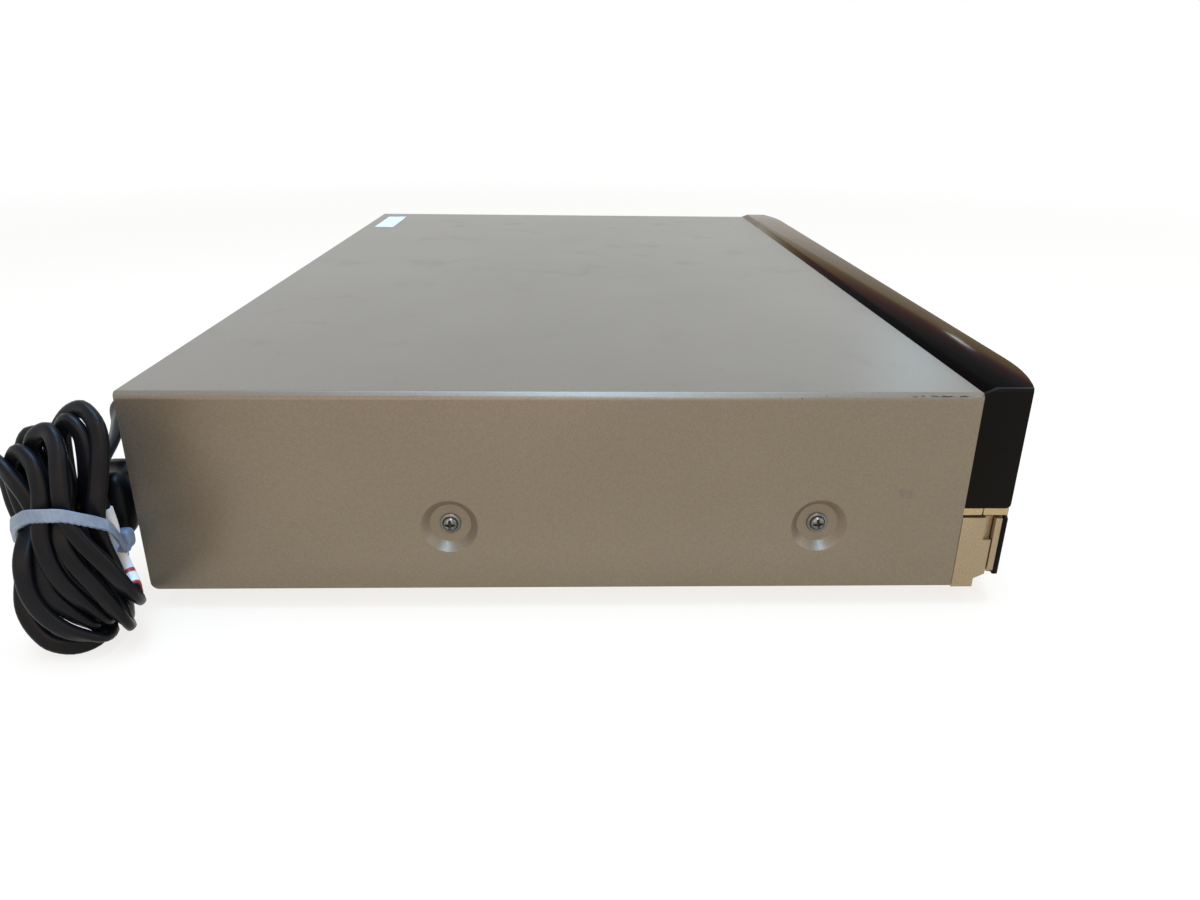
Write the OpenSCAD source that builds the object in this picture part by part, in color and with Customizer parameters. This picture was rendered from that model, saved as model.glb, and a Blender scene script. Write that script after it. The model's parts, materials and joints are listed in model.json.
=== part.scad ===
// Disc and video cassette combo player: cabinet, front, disc loader, tape deck, boards and mains cord.
// Millimetres. +Z is up, the front faces -Y, and the origin lies on the surface below the cabinet's middle.

/* [Cabinet] */
// Width of the cover
cover_w = 430; // [426:1:450]
// Depth of the cover, from its front edge to its rear edge
cover_d = 271.3; // [268:0.1:300]
// Height of the cover's sides
cover_h = 69.3; // [69:0.1:80]
// Thickness of the sheet steel
sheet_t = 1; // [0.8:0.1:1.2]
// Outer radius of the cover's bends
bend_r = 1.5; // [1.3:0.1:3]
// Height of the feet
foot_h = 8; // [8:0.5:14]
// Radius of a foot at the cabinet
foot_r = 16; // [12:0.5:20]
// Distance of a foot's middle from the cover's side and edge
foot_inset = 34; // [26:1:45]
// Radius of a dimple's rim
dimple_r = 9.4; // [8:0.1:11]
// Radius of a dimple's flat floor
dimple_floor_r = 6.8; // [5:0.1:7.5]
// Depth of a dimple
dimple_depth = 2.8; // [2.4:0.1:3.5]
// Height of the side screws above the cover's lower edge
side_screw_z = 23; // [18:0.5:30]
// Distance of the front side screws behind the cover's front edge
side_screw_front = 48.2; // [30:0.1:70]
// Distance of the rear side screws behind the cover's front edge
side_screw_rear = 170.9; // [140:0.1:230]
// Radius of a screw's shank
screw_r = 1.5; // [1.2:0.1:2]
// Radius of a screw's flange
screw_flange_r = 3.5; // [3:0.1:4.5]
// Height of the base's side walls
base_wall_h = 14; // [10:1:18]

/* [Front] */
// Distance of the front's flat face ahead of the cover
front_d = 22.2; // [20:0.1:30]
// Distance that the front's side faces reach ahead of the cover
front_side_d = 15.5; // [14.5:0.1:18]
// Width of the round end at each side of the front
corner_run = 35; // [25:1:35]
// Thickness of the front's moulded walls
wall = 2.5; // [2:0.1:3]
// Height of the upper bezel's lower edge above the cover's lower edge
upper_z = 29.3; // [29:0.1:32]
// Rise of the upper bezel above the cover
bezel_rise = 1.7; // [1:0.1:3]
// Depth of the slope behind the upper bezel's top
slope_d = 4; // [2:0.5:8]
// Size of the bevel along the upper bezel's side edges
edge_bevel = 0.9; // [0.4:0.1:1.5]
// Height of the trim band
trim_h = 2.7; // [2:0.1:3]
// Depth of the trim band's rear plates
trim_plate_d = 6.5; // [4:0.1:9]
// Gap under the trim band
trim_gap = 0.9; // [0.5:0.1:1.5]
// Depth of the lower bezel's cheeks
cheek_d = 7.5; // [6:0.1:8.5]
// Distance that the cheeks reach below the cover
cheek_drop = 0.6; // [0.2:0.1:1.5]
// Distance of the jack recess's wall ahead of the cover
recess_d = 11.3; // [10.5:0.1:12]
// Height of the lower fascia's lower edge above the cover's lower edge
fascia_z = 4.3; // [3.5:0.1:6]
// Width of the jack door
jack_door_w = 155; // [120:1:170]
// Thickness of the jack door's dark face plate
door_face_t = 1.8; // [1.2:0.1:2.2]
// Radius of the jack door's hinge barrel
door_barrel_r = 1.5; // [1.4:0.1:2]
// Radius of the jack door's hinge pins
door_pin_r = 0.9; // [0.7:0.1:1]
// Travel of a button
button_travel = 0.8; // [0.5:0.1:1.2]
// Distance that a button stands out of the front
button_proud = 0.5; // [0.3:0.1:1]
// Width of a transport button
key_w = 22; // [14:1:26]
// Height of a button
key_h = 7; // [5:0.5:8]
// Distance between the transport buttons
key_pitch = 32; // [28:1:36]
// Radius of the power button
power_r = 5.5; // [4:0.5:6.5]

/* [Disc loader] */
// Distance of the loader's middle left of the cabinet's middle
loader_offset = 110; // [108:1:112]
// Width of the tray
tray_w = 132; // [130:1:134]
// Length of the tray
tray_len = 172; // [168:1:180]
// Thickness of the tray
tray_t = 6.4; // [5.5:0.1:7]
// Height of the tray's underside above the cover's lower edge
tray_z = 53.8; // [53.5:0.1:54.5]
// Radius of the tray's disc recess
disc_recess_r = 60.8; // [60.5:0.1:62]
// Distance of the disc's middle behind the front's flat face
disc_back = 70; // [68:1:72]
// Width of the tray's front plate
tray_front_w = 135.4; // [134.5:0.1:140]
// Height of the tray's front plate
tray_front_h = 17; // [16:0.1:17.2]
// Thickness of the tray's front plate
tray_front_t = 3; // [2.5:0.1:4]
// Module of the tray's rack and gear
gear_module = 1.2; // [1.2:0.1:1.3]
// Number of teeth of the tray gear
gear_teeth = 16; // [14:1:17]
// Radius of the tray gear's belt groove
gear_pulley_r = 11; // [9:0.5:12]
// Radius of the motor pulley's belt groove
motor_pulley_r = 3; // [2.5:0.5:5]
// Distance of the traverse hinge behind the turntable
hinge_back = 92; // [90:1:100]
// Radius of the turntable
turntable_r = 15; // [12:0.5:16]
// Travel of the pickup sled
sled_travel = 34; // [20:1:36]

/* [Tape deck] */
// Distance of the tape deck's middle right of the cabinet's middle
deck_offset = 83; // [80:1:86]
// Width of a cassette
cassette_w = 188; // [188:1:189]
// Depth of a cassette
cassette_d = 104; // [104:1:106]
// Height of a cassette
cassette_h = 25; // [24.8:0.1:25]
// Width of the tape door
tape_door_w = 193.4; // [193:0.1:196]
// Height of the tape door
tape_door_h = 31.6; // [31:0.1:31.7]
// Thickness of the tape door
tape_door_t = 2; // [1.6:0.1:2.3]
// Radius of the tape door's pins
tape_pin_r = 1.2; // [0.8:0.1:1.3]
// Height of the tape door's lower edge above the cover's lower edge
tape_door_z = 35.2; // [35:0.1:35.4]
// Inward travel of the cassette holder
holder_travel = 45; // [30:1:50]
// Height of the deck plate's top above the cover's lower edge
deck_z = 16.2; // [15:0.1:18]
// Thickness of the deck plate
deck_t = 1.2; // [1:0.1:1.6]
// Radius of the head drum
drum_r = 31; // [28:0.5:31]
// Distance between the reels
reel_pitch = 92; // [88:1:94]
// Radius of a reel table
reel_r = 19; // [14:0.5:21]
// Radius of the capstan
capstan_r = 2; // [1.5:0.1:2.5]
// Radius of the capstan's flywheel
flywheel_r = 21; // [15:0.5:24]
// Radius of the pinch roller
pinch_r = 6; // [5:0.1:6.5]
// Angle that swings the pinch roller to the capstan
pinch_angle = 25; // [15:1:25]

/* [Boards and rear] */
// Thickness of a circuit board
board_t = 1.6; // [1.2:0.1:2]
// Height of a board above the base
board_rise = 6; // [5:0.5:8]
// Radius of a socket's barrel
socket_r = 4.15; // [3.5:0.05:4.5]
// Distance between the sockets
socket_pitch = 14; // [13:0.5:15]
// Reach of the rear sockets behind the rear panel
socket_len = 8.5; // [7:0.5:10]
// Radius of an aerial socket
aerial_r = 4.7; // [4:0.1:5]

/* [Mains cord] */
// Width of the flat cord
cord_w = 5.4; // [5:0.1:6]
// Length of the strain relief behind the rear panel
relief_len = 15; // [15:1:20]
// Radius of the strain relief at the rear panel
relief_r = 5; // [4.5:0.1:6]

/* [Clearances] */
// Gap round doors, buttons and the tray's front
panel_gap = 0.3; // [0.2:0.05:0.4]
// Radial gap of a shaft in its bearing
running_gap = 0.05; // [0.02:0.01:0.08]
// Gap between pieces that slide or swing past each other
slide_gap = 0.3; // [0.2:0.05:0.4]
// Radial gap of a screw in its hole
screw_gap = 0.1; // [0.05:0.05:0.2]

/* [Hidden] */
$fn = 48;
over = 1;         // how far a cut runs past the face it opens
lap = 0.01;       // overlap that joins two forms of one piece

// The cabinet's planes
rear_reach = socket_len - sheet_t;
overall_d = button_proud + front_d + cover_d + rear_reach;
front_y = button_proud - overall_d / 2;
cover_y0 = front_y + front_d;
cover_y1 = cover_y0 + cover_d;
panel_y1 = cover_y1 - sheet_t;
panel_y0 = panel_y1 - sheet_t;
side_x = cover_w / 2;
base_x = side_x - dimple_depth - sheet_t;
base_z = foot_h;
top_z = base_z + cover_h;
floor_z = base_z + sheet_t;
roof_z = top_z - sheet_t;
flange_h = 9;
screw_z = base_z + side_screw_z;
side_screw_ys = [cover_y0 + side_screw_front, cover_y0 + side_screw_rear];
rear_screw_z = top_z - flange_h / 2 - sheet_t / 2;
rear_screw_xs = [-side_x * 0.7, 0, side_x * 0.7];

// The front's levels
corner_drop = front_d - front_side_d;
corner_r = (corner_run * corner_run + corner_drop * corner_drop) / (2 * corner_drop);
upper_z0 = base_z + upper_z;
upper_z1 = top_z + bezel_rise;
trim_z0 = upper_z0 - trim_h;
lower_z1 = trim_z0 - trim_gap;
fascia_z0 = base_z + fascia_z;
cheek_y = cover_y0 - cheek_d;
recess_y = cover_y0 - recess_d;
wall_y = front_y + wall;
door_x0 = -side_x;
door_x1 = door_x0 + jack_door_w;

// The jack door's hinge
door_y1 = recess_y - panel_gap;
door_hinge_y = door_y1 - door_barrel_r;
door_hinge_z = fascia_z0 + door_barrel_r;
lug_w = 3;
lug_xs = [door_x0 + 14, door_x1 - 14];

// The loader's places
loader_x = -loader_offset;
disc_y = front_y + disc_back;
tray_z0 = base_z + tray_z;
tray_z1 = tray_z0 + tray_t;
tray_y0 = front_y + tray_front_t;
tray_y1 = tray_y0 + tray_len;
tray_front_z0 = tray_z0 - 5.5;
frame_in_x = tray_w / 2 + 0.5;
frame_t = 4;
frame_out_x = frame_in_x + frame_t;
frame_y0 = cover_y0 + 1;
frame_y1 = tray_y1 + 4;
frame_z0 = tray_z0 - 21.8;
frame_z1 = tray_z1 + 2.3;
shelf_z1 = tray_z0 - 11.8;
shelf_t = 2;
shelf_d = 22;
shelf_y1 = frame_y0 + shelf_d;
shelf_wall_t = 3;
pitch_r = gear_module * gear_teeth / 2;
base_r = pitch_r * cos(20);
outer_r = pitch_r + gear_module;
root_r = pitch_r - 1.25 * gear_module;
tooth_pitch = PI * gear_module;
tooth_play = 0.12;
rack_x = loader_x - tray_w / 2 + 10;       // the rack's pitch line
gear_x = rack_x + pitch_r;
gear_y = frame_y0 + 12;
gear_z0 = tray_z0 - 4.6;
gear_h = 4;
pulley_h = 4;
pulley_z0 = shelf_z1 + 1;
pulley_lip = 1;
gear_post_r = 2;
motor_x = gear_x + 34;
motor_y = gear_y - 2;
motor_r = shelf_y1 - shelf_wall_t - panel_gap - motor_y;
motor_h = 11;
motor_shaft_r = 1;

// The traverse: plate, rods and hinge
hinge_y = disc_y + hinge_back;
plate_z0 = tray_z0 - 15.8;
plate_t = 1.6;
plate_z1 = plate_z0 + plate_t;
hinge_z = plate_z0 + 2;
plate_x = 38;
plate_y0 = disc_y - 20;
hinge_pin_r = 2.5;
hinge_lug_w = 6;
rod_r = 1.2;
rod_x = 20;
rod_z = plate_z1 + 1.6;
turntable_z1 = tray_z0 - 2.6;
turntable_t = 2.5;
spindle_r = 1.2;
spindle_motor_r = 12.5;
spindle_motor_h = turntable_z1 - turntable_t - 0.5 - plate_z1;
sled_y0 = disc_y + turntable_r + 3;
sled_d = 24;
sled_x = 24;
sled_z0 = plate_z1 + 0.4;
screw_x = 14;
lead_z = plate_z0 - 4.3;
lead_r = 1.8;
sled_motor_w = 8.6;
sled_motor_d = 14;

// The tape deck's places
deck_x = deck_offset;
tape_z0 = base_z + tape_door_z;
tape_z1 = tape_z0 + tape_door_h;
tape_y0 = front_y + 0.2;                          // the tape door's face
tape_back_y = tape_y0 + tape_door_t;
tape_hinge_y = tape_back_y + tape_pin_r + 0.3;
tape_hinge_z = tape_z1 - tape_pin_r - 0.3;
tape_barrel_r = tape_pin_r + 0.3;
tape_lug_w = 3;
deck_z1 = base_z + deck_z;
deck_z0 = deck_z1 - deck_t;
bay_side = 1.2;                                    // room beside a cassette
holder_in_x = cassette_w / 2 + bay_side;
holder_t = 0.8;
holder_out_x = holder_in_x + holder_t;
holder_z1 = tape_z0 - 0.2;                         // top of the holder's floor
holder_z0 = holder_z1 - 1;
holder_y0 = tape_back_y + 6;
holder_y1 = holder_y0 + cassette_d + 2;
holder_pin_r = 1.8;
holder_pin_z = holder_z0 + 14;
holder_pin_ys = [holder_y0 + 33, holder_y0 + 93];
bracket_x = holder_out_x + 1.2;
bracket_t = 1.2;
bracket_z1 = holder_z1 + 20;
loaded_y = holder_y1 + holder_travel;
drum_y = loaded_y + 8 + drum_r;
deck_y0 = cover_y0 + 2;
deck_y1 = drum_y + drum_r + 14;
deck_half_w = bracket_x + bracket_t;
reel_y = loaded_y - 62;
reel_post_r = 2;
reel_h = 4;
reel_top = holder_z0 - 0.9;
reel_spindle_r = 6;
guide_start = [26, loaded_y - 12];
guide_end = [42, drum_y - 5];
guide_base_r = 6;
guide_pin_r = 2.5;
guide_post_r = 3.2;
capstan_at = [deck_x + 52, loaded_y + 11];
pinch_gap = 0.3;
pinch_arm_len = 21;
pinch_pivot = capstan_at + [capstan_r + pinch_r + pinch_gap, pinch_arm_len];
pinch_turn = pinch_angle - 90;                      // the arm's heading at rest
pinch_at = pinch_pivot + pinch_arm_len * [cos(pinch_turn), sin(pinch_turn)];
pinch_post_r = 1.5;

// The boards and the rear
board_z0 = floor_z + board_rise;
board_z1 = board_z0 + board_t;
main_x = [loader_x - tray_w / 2 + 6, loader_x + tray_w / 2 - 6];
main_y = [frame_y0 + 12, frame_y1 - 20];
power_x = [-base_x + 8, loader_x + tray_w / 2 - 11];
power_y = [panel_y0 - 66, panel_y0 - 6];
boss_r = 3;
part_h = cover_h * 0.43;                            // room for parts above a board
boss_inset = 5;
aerial_x = deck_x + 78;
aerial_zs = [base_z + 20, base_z + 42];
socket_cols = 5;
socket_rows = 3;
socket_x = deck_x - 72;
socket_z = base_z + 34;
socket_block = [(socket_cols + 0.2) * socket_pitch, 10, (socket_rows + 0.2) * socket_pitch];
relief_x = -170;
relief_z = base_z + 52;

// The mains cord's route from the strain relief to the hank, and the hank that stands at the cabinet's corner
cord_t = 3.4;
cord_route = [
    [-170, 156, 60], [-170, 159, 60], [-171.5, 161.5, 59.9], [-175, 162.6, 59.6], [-180, 161.3, 59],
    [-185, 159.2, 58.1], [-190, 157, 57], [-195, 155.4, 55.9], [-200, 154.4, 54.9], [-206, 153.6, 53.8],
    [-212, 152.8, 52.5], [-216.5, 152.1, 51], [-219.6, 151.8, 49]
];
hank_x = [-243, -217];
hank_waist_y = [142, 166];
hank_waist_z = [34, 50];
plug_at = [-205.4, 154, 36.2];
plug_size = [17, 16, 24];
blade = [17, 1.6, 6.4];
blade_pitch = 12.7;

// ---------- shared forms ----------

// A flat form in the XZ plane, extruded from y0 to y1
module along_y(y0, y1) {
    translate([0, y1, 0]) rotate([90, 0, 0]) linear_extrude(y1 - y0) children();
}

// A flat form in the YZ plane, extruded from x0 to x1
module along_x(x0, x1) {
    translate([x0, 0, 0]) rotate([90, 0, 90]) linear_extrude(x1 - x0) children();
}

// A block between two opposite corners
module block(low, high) {
    translate(low) cube(high - low);
}

// A round bar along X, Y or Z
module bar_x(x0, x1, y, z, r) {
    translate([x0, y, z]) rotate([0, 90, 0]) cylinder(h = x1 - x0, r = r);
}
module bar_y(y0, y1, x, z, r) {
    translate([x, y0, z]) rotate([-90, 0, 0]) cylinder(h = y1 - y0, r = r);
}
module bar_z(z0, z1, x, y, r) {
    translate([x, y, z0]) cylinder(h = z1 - z0, r = r);
}

// A copy at each side of the middle
module both_sides() {
    children();
    mirror([1, 0, 0]) children();
}

// A pan head screw, its seat at z = 0 and its head up
module screw(shank = 6) {
    flange_t = 0.6;
    head_r = screw_flange_r * 0.74;
    head_h = 1.6;
    slot = 0.7;
    difference() {
        union() {
            cylinder(h = flange_t, r = screw_flange_r);
            translate([0, 0, flange_t - lap]) cylinder(h = head_h + lap, r1 = head_r, r2 = head_r * 0.8);
            translate([0, 0, -shank]) cylinder(h = shank + lap, r = screw_r);
        }
        for (turn = [0, 90]) rotate(turn)
            translate([-head_r * 0.55, -slot / 2, flange_t + head_h / 2]) cube([head_r * 1.1, slot, head_h]);
    }
}

// The front's plan: a flat middle with a round end at each side
module front_plan(inset = 0, back_y = cover_y0) {
    half = side_x - corner_run;
    face_y = front_y + inset;
    translate([-half, face_y]) square([2 * half, back_y - face_y]);
    both_sides() intersection() {
        translate([half, front_y + corner_r]) circle(r = corner_r - inset, $fn = 180);
        translate([half - lap, face_y - over]) square([corner_run - inset + lap, back_y - face_y + over]);
    }
}

// A slice of the front between two heights
module front_slice(z0, z1, inset = 0, back_y = cover_y0) {
    translate([0, 0, z0]) linear_extrude(z1 - z0) front_plan(inset, back_y);
}

// ---------- cabinet ----------

module cover_outline(inset) {
    x = side_x - inset;
    r = bend_r - inset;
    top = top_z - inset;
    translate([-x, base_z]) square([2 * x, top - r - base_z]);
    translate([-x + r, base_z]) square([2 * (x - r), top - base_z]);
    both_sides() translate([x - r, top - r]) circle(r = r);
}

module at_side_screws() {
    both_sides() for (y = side_screw_ys) translate([side_x, y, screw_z]) rotate([0, 90, 0]) children();
}

module at_rear_screws() {
    for (x = rear_screw_xs) translate([x, cover_y1, rear_screw_z]) rotate([-90, 0, 0]) children();
}

// Folded steel cover: a roof, two sides with dimples, and a flange at the rear
module top_cover() {
    slope = (dimple_r - dimple_floor_r) / dimple_depth;
    skin = 0.7;
    corner_r = 2.5;
    color([0.52, 0.52, 0.5]) difference() {
        union() {
            difference() {
                along_y(cover_y0, cover_y1) cover_outline(0);
                along_y(cover_y0 - over, cover_y1 + over) difference() {
                    cover_outline(sheet_t);
                }
                block([-side_x + sheet_t, cover_y0 - over, base_z - over],
                      [side_x - sheet_t, cover_y1 + over, base_z + over]);
            }
            at_side_screws() translate([0, 0, -dimple_depth - sheet_t])
                cylinder(h = dimple_depth + sheet_t / 2, r1 = dimple_floor_r + skin, r2 = dimple_r + skin);
            block([-side_x + 6, panel_y1, top_z - flange_h], [side_x - 6, cover_y1, roof_z + lap]);
        }
        at_side_screws() {
            translate([0, 0, -dimple_depth])
                cylinder(h = dimple_depth + over, r1 = dimple_floor_r, r2 = dimple_r + slope * over);
            translate([0, 0, -dimple_depth - 2 * sheet_t]) cylinder(h = 3 * sheet_t, r = screw_r + screw_gap);
        }
        at_rear_screws() translate([0, 0, -2 * sheet_t]) cylinder(h = 3 * sheet_t, r = screw_r + screw_gap);
        both_sides() along_x(side_x - sheet_t - over, side_x + over)
            translate([cover_y1 - corner_r, base_z]) difference() {
                translate([0, -over]) square(corner_r + over);
                translate([0, corner_r]) circle(r = corner_r);
            }
    }
}

// A row of slots in a flat sheet that lies in the XY plane, from z = -over to z = 2 * over
module slots(count, pitch, length, width) {
    for (i = [0 : count - 1])
        translate([(i - (count - 1) / 2) * pitch - width / 2, -length / 2, -over]) cube([width, length, 3 * over]);
}

module board_bosses(xs, ys, z1) {
    for (x = [xs[0] + boss_inset, xs[1] - boss_inset], y = [ys[0] + boss_inset, ys[1] - boss_inset])
        bar_z(floor_z - lap, z1, x, y, boss_r);
}

// Steel base with low side walls, screw tabs, board bosses and slots
module chassis_base() {
    tab_w = 22;
    tab_z1 = screw_z + 7;
    color([0.62, 0.63, 0.64]) difference() {
        union() {
            block([-base_x, cover_y0 + 1, base_z], [base_x, panel_y1, floor_z]);
            both_sides() {
                block([base_x - sheet_t, cover_y0 + 1, base_z], [base_x, panel_y0, base_z + base_wall_h]);
                for (y = side_screw_ys)
                    block([base_x - sheet_t, y - tab_w / 2, base_z], [base_x, y + tab_w / 2, tab_z1]);
            }
            block([-base_x, cover_y0 + 1, base_z], [base_x, cover_y0 + 1 + sheet_t, base_z + 12]);
            board_bosses(main_x, main_y, board_z0);
            board_bosses(power_x, power_y, board_z0);
        }
        at_side_screws() translate([0, 0, -dimple_depth - 4 * sheet_t])
            cylinder(h = 4 * sheet_t, r = screw_r + screw_gap);
        translate([loader_x, disc_y + 45, base_z]) slots(9, 9, 40, 3);
        translate([deck_x + 20, drum_y + 52, base_z]) slots(9, 9, 24, 3);
    }
}

module rear_window(x, z, w, h) {
    block([x - w / 2, panel_y0 - over, z - h / 2], [x + w / 2, panel_y1 + over, z + h / 2]);
}

// Steel rear panel with the sockets' window, the cord's hole and two rows of slots
module rear_panel() {
    color([0.6, 0.61, 0.62]) difference() {
        block([-base_x + sheet_t, panel_y0, floor_z], [base_x - sheet_t, panel_y1, roof_z]);
        rear_window(socket_x, socket_z, socket_block[0] + 2 * panel_gap, socket_block[2] + 2 * panel_gap);
        for (z = aerial_zs) bar_y(panel_y0 - over, panel_y1 + over, aerial_x, z, aerial_r + screw_gap);
        bar_y(panel_y0 - over, panel_y1 + over, relief_x, relief_z, relief_r + screw_gap);
        at_rear_screws() translate([0, 0, -4 * sheet_t]) cylinder(h = 4 * sheet_t, r = screw_r + screw_gap);
        translate([loader_x, panel_y1 - sheet_t / 2, base_z + 30]) rotate([90, 0, 0]) slots(12, 6, 26, 2.5);
    }
}

// Four moulded feet
module feet() {
    color([0.12, 0.12, 0.12])
        for (x = [-1, 1] * (side_x - foot_inset), y = [cover_y0 + foot_inset, cover_y1 - foot_inset])
            translate([x, y, 0]) rotate_extrude()
                polygon([[0, 0], [foot_r - 2.5, 0], [foot_r - 1.5, 1], [foot_r, foot_h], [0, foot_h]]);
}

// Seven pan head screws: four in the dimples and three at the rear
module cover_screws() {
    color([0.78, 0.79, 0.8]) {
        at_side_screws() translate([0, 0, -dimple_depth]) screw();
        at_rear_screws() screw();
    }
}

// Blank label on the roof's far corner
module cover_label() {
    label = [cover_w * 0.123, cover_w * 0.029, 0.2];
    color([0.92, 0.93, 0.94]) translate([side_x - 19 - label[0], cover_y1 - 6.8 - label[1], top_z]) cube(label);
}

// ---------- front ----------

// A rectangular cut through the front's wall
module front_cut(x0, x1, z0, z1, gap = panel_gap) {
    block([x0 - gap, front_y - over, z0 - gap], [x1 + gap, wall_y + over, z1 + gap]);
}

eject_room = deck_x - tape_door_w / 2 - loader_x - tray_front_w / 2;
eject_x = loader_x + tray_front_w / 2 + eject_room / 2;
eject_w = eject_room * 0.52;
board_post_r = 1.8;
disc_eject_z = tray_z0 + 3;
tape_eject_z = upper_z0 + 11;
power_x0 = loader_x - tray_front_w / 2 + 16;
power_z = upper_z0 + 11;
window_w = 76;
window_x1 = loader_x + tray_front_w / 2;
window_z = [upper_z0 + 4.2, tray_front_z0 - 3.5];
window_lip_t = 1;
front_board_y = wall_y + 5;

// Upper gloss bezel with openings for the tray, the window, the tape door and three buttons
module front_bezel() {
    lug_x = tape_door_w / 2 + panel_gap;
    color([0.03, 0.03, 0.03]) difference() {
        union() {
            difference() {
                front_slice(upper_z0, upper_z1);
                front_slice(upper_z0 + wall, roof_z - wall / 2, wall, cover_y0 + over);
            }
            for (s = [-1, 1]) {
                x = deck_x + s * (lug_x + tape_lug_w / 2);
                block([x - tape_lug_w / 2, wall_y - lap, tape_hinge_z - 2.6],
                      [x + tape_lug_w / 2, tape_hinge_y + 2.6, roof_z - wall / 2 + lap]);
            }
            for (x = [loader_x - 62, eject_x - eject_w * 0.3])
                bar_y(wall_y - lap, front_board_y, x, upper_z0 + wall + board_post_r, board_post_r);
        }
        front_cut(loader_x - tray_front_w / 2, loader_x + tray_front_w / 2,
                  tray_front_z0, tray_front_z0 + tray_front_h);
        front_cut(window_x1 - window_w, window_x1, window_z[0], window_z[1], 0.1);
        front_cut(deck_x - tape_door_w / 2, deck_x + tape_door_w / 2, tape_z0, tape_z1);
        for (z = [disc_eject_z, tape_eject_z])
            front_cut(eject_x - eject_w / 2, eject_x + eject_w / 2, z - key_h / 2, z + key_h / 2);
        bar_y(front_y - over, wall_y + over, power_x0, power_z, power_r + panel_gap);
        bar_x(deck_x - lug_x - tape_lug_w - over, deck_x + lug_x + tape_lug_w + over,
              tape_hinge_y, tape_hinge_z, tape_pin_r + running_gap);
        // the slope behind the top and the bevels along the sides
        along_x(-side_x - over, side_x + over)
            polygon([[cover_y0 + over, top_z], [cover_y0, top_z], [cover_y0 - slope_d, upper_z1],
                     [cover_y0 - slope_d, upper_z1 + over], [cover_y0 + over, upper_z1 + over]]);
        both_sides() along_y(front_y - over, cover_y0 + over)
            polygon([[side_x + over, upper_z1 - edge_bevel], [side_x, upper_z1 - edge_bevel],
                     [side_x - edge_bevel, upper_z1], [side_x - edge_bevel, upper_z1 + over],
                     [side_x + over, upper_z1 + over]]);
    }
}

// Bright band under the upper bezel, with a groove in front of each rear plate
module trim_band() {
    groove = 0.4;
    inset = 0.3;
    tongue = 5;
    color([0.75, 0.68, 0.52]) difference() {
        front_slice(trim_z0, upper_z0, inset);
        front_slice(trim_z0 - over, upper_z0 + over, wall + tongue, cover_y0 + over);
        both_sides() block([side_x - 1, cover_y0 - trim_plate_d - groove, trim_z0 - over],
                           [side_x + over, cover_y0 - trim_plate_d, upper_z0 + over]);
    }
}

notch_z = fascia_z0 + 13;
notch_d = 2.8;

// Lower bezel: a cheek at each side, the wall behind the jack door and a tongue that carries the upper bezel
module lower_bezel() {
    step = 0.4;
    play = 0.2;
    tongue_y0 = cover_y0 - 6;
    open_y = cover_y0 + over;
    color([0.62, 0.56, 0.47]) difference() {
        union() {
            block([-side_x, cheek_y, base_z - cheek_drop], [side_x, cover_y0 - play, lower_z1]);
            along_x(-side_x + step, side_x - step)
                polygon([[recess_y, fascia_z0 - 0.1], [cheek_y + lap, fascia_z0 - 2], [cheek_y + lap, lower_z1],
                         [recess_y, lower_z1]]);
            block([-side_x + wall + 7, tongue_y0, lower_z1 - wall], [side_x - wall - 7, cover_y0 - play, upper_z0]);
            for (x = lug_xs) {
                block([x - lug_w / 2, door_hinge_y, door_hinge_z - door_barrel_r],
                      [x + lug_w / 2, recess_y + lap, door_hinge_z + door_barrel_r]);
                bar_x(x - lug_w / 2, x + lug_w / 2, door_hinge_y, door_hinge_z, door_barrel_r);
            }
        }
        // hollow behind the walls
        block([-side_x + wall, recess_y + wall, fascia_z0 + wall], [side_x - wall, tongue_y0 + 2, lower_z1 - wall]);
        block([-side_x + wall, tongue_y0 + 2 - lap, fascia_z0 + wall], [side_x - wall, open_y, lower_z1 - wall]);
        block([-side_x + wall + 9, tongue_y0 + wall, lower_z1 - wall - over],
              [side_x - wall - 9, open_y, upper_z0 + over]);
        // finger notch beside the jack door
        block([-side_x - over, recess_y - over, notch_z], [-side_x + 2, recess_y + notch_d, lower_z1 + over]);
        for (x = jack_xs) bar_y(recess_y - over, recess_y + wall + over, x, jack_z, socket_r + panel_gap);
        for (x = lug_xs)
            bar_x(x - lug_w, x + lug_w, door_hinge_y, door_hinge_z, door_pin_r + running_gap);
    }
}

key_xs = [for (i = [0 : 3]) deck_x - 60 + i * key_pitch];
key_z = (fascia_z0 + lower_z1) / 2;

// Fixed dark fascia right of the jack door, with holes for the transport buttons
module lower_fascia() {
    x0 = door_x1 + panel_gap;
    color([0.04, 0.04, 0.045]) difference() {
        union() {
            intersection() {
                difference() {
                    front_slice(fascia_z0, lower_z1, 0, recess_y);
                    front_slice(fascia_z0 + wall, lower_z1 - wall, wall, recess_y + over);
                }
                block([x0, front_y - over, fascia_z0 - over], [side_x + over, recess_y, lower_z1 + over]);
            }
            block([x0, wall_y - lap, fascia_z0], [x0 + wall, recess_y, lower_z1]);
            for (x = [key_xs[0] - 18, key_xs[3] + 18]) bar_y(wall_y - lap, recess_y, x, key_z, 2);
        }
        for (x = key_xs) front_cut(x - key_w / 2, x + key_w / 2, key_z - key_h / 2, key_z + key_h / 2);
    }
}

module display_window() {
    lip = 1.5;
    color([0.08, 0.09, 0.1, 0.7]) {
        block([window_x1 - window_w, front_y, window_z[0]], [window_x1, wall_y + lap, window_z[1]]);
        block([window_x1 - window_w - lip, wall_y, window_z[0] - lip],
              [window_x1 + lip, wall_y + window_lip_t, window_z[1] + lip]);
    }
}

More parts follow.
